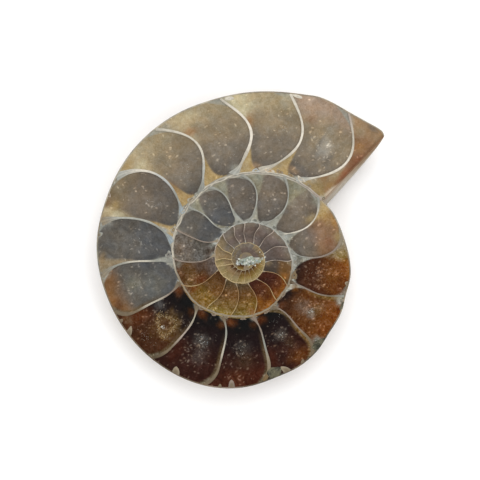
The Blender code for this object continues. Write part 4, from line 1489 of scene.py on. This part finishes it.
# In mm from the coil's centre: the slot's middle and half size, how far its right end lies higher,
# and the radius of the floor of the first whorls
SLOT_MIDDLE, SLOT_HALF, SLOT_TILT = (1.15, -0.30), (3.1, 0.85), 0.34
FIRST_RADIUS = 2.6
# Also in mm from the centre: the middle and spread of the crystals in the slot and of the lumps
# beside it
BUD_MIDDLE, BUD_REACH, BUD_SPREAD = (0.9, -0.35), 2.7, 0.46
LUMP_MIDDLE, LUMP_SPREAD = (3.9, 0.50), (0.28, 0.36)
FIRST_SPOKES, SLOT_SPOKES, CENTRE_RINGS = 48, 40, 10
FIRST_DEPTH, SLOT_DEPTH = 0.15 * MM, 0.1 * MM

# One stubby six-sided crystal, narrower on top
BUD_HEIGHT = 0.14 * MM
bpy.ops.object.select_all(action="DESELECT")
bpy.ops.mesh.primitive_cone_add(vertices=6, radius1=1.0, radius2=0.45, depth=BUD_HEIGHT)
bud = bpy.context.object
bpy.ops.object.mode_set(mode="EDIT")
bpy.ops.mesh.select_all(action="SELECT")
bpy.ops.transform.resize(value=(1.0, 0.62, 1.0), center_override=(0.0, 0.0, 0.0))
bpy.ops.object.mode_set(mode="OBJECT")

chance = random.Random(BUD_SEED)
buds = []
for count in range(BUD_COUNT + LUMP_COUNT):
    if count < BUD_COUNT:
        share = chance.uniform(-1.0, 1.0)
        x = BUD_MIDDLE[0] + BUD_REACH * share
        y = chance.gauss(0.0, BUD_SPREAD) * (1.0 - 0.5 * share * share)
        y += BUD_MIDDLE[1] + SLOT_TILT * share
        size, tone = chance.uniform(0.20, 0.44) * MM, chance.choice(BUD_TONES)
    else:
        x = LUMP_MIDDLE[0] + chance.gauss(0.0, LUMP_SPREAD[0])
        y = LUMP_MIDDLE[1] + chance.gauss(0.0, LUMP_SPREAD[1])
        size, tone = chance.uniform(0.16, 0.34) * MM, chance.choice(LUMP_TONES)
    depth = 0.5 * BUD_HEIGHT + chance.uniform(0.0, 0.04) * MM
    place = (COIL_CENTRE[0] + x * MM, COIL_CENTRE[1] + y * MM, FACE - depth)
    buds.append(copy_of(bud, place, (size, size, 1.0), chance.uniform(0.0, math.pi), tone))
bud_piece = join_copies("druse", bud, buds)


def slot_place(u, v):
    """The slot that the druse grows in: a long, slightly tilted round."""
    way = 2.0 * math.pi * u
    reach = v * (1.0 + 0.08 * np.sin(5.0 * way) + 0.06 * np.sin(8.0 * way + 1.0))
    tilt = SLOT_TILT * np.cos(way) * reach
    return np.column_stack((
        COIL_CENTRE[0] + (SLOT_MIDDLE[0] + SLOT_HALF[0] * reach * np.cos(way)) * MM,
        COIL_CENTRE[1] + (SLOT_MIDDLE[1] + SLOT_HALF[1] * reach * np.sin(way) + tilt) * MM,
        FACE - 0.025 * MM * (1.0 + v**4),
    ))


def slot_colour(u, v, points):
    """Grey-green crust with white and grey patches."""
    made = np.tile(mineral("verdigris"), (len(u), 1))
    made = over(made, mineral("white"), ramp(cloud(points, 0.5, 2.0), 0.1, 0.9))
    return over(made, mineral("stone"), ramp(cloud(points, 0.4, 7.0), 0.3, 0.9))


def first_place(u, v):
    """The floor of the first whorls: a round, lower in its middle."""
    way = 2.0 * math.pi * u
    reach = FIRST_RADIUS * MM * v
    return np.column_stack((
        COIL_CENTRE[0] + reach * np.cos(way),
        COIL_CENTRE[1] + reach * np.sin(way),
        FACE - (0.06 + 0.10 * ramp(v, 0.55, 0.15)) * MM,
    ))


def first_colour(u, v, points):
    """Brown and golden calcite, greyer in the middle."""
    made = np.tile(mineral("biscuit"), (len(u), 1))
    made = over(made, mineral("gold"), ramp(cloud(points, 1.0, 4.0), -0.1, 0.8))
    return over(made, mineral("putty"), ramp(v, 0.55, 0.2))


first_floor = slab(
    "first_whorl_floor", FIRST_SPOKES, CENTRE_RINGS, first_place, FIRST_DEPTH, first_colour,
)
slot = slab("slot", SLOT_SPOKES, CENTRE_RINGS, slot_place, SLOT_DEPTH, slot_colour)
centre_crystals = join("centre_crystals", [first_floor, slot, bud_piece])
centre_crystals.data.materials.append(shell_line)
lay_out(centre_crystals)
hand_in(centre_crystals)
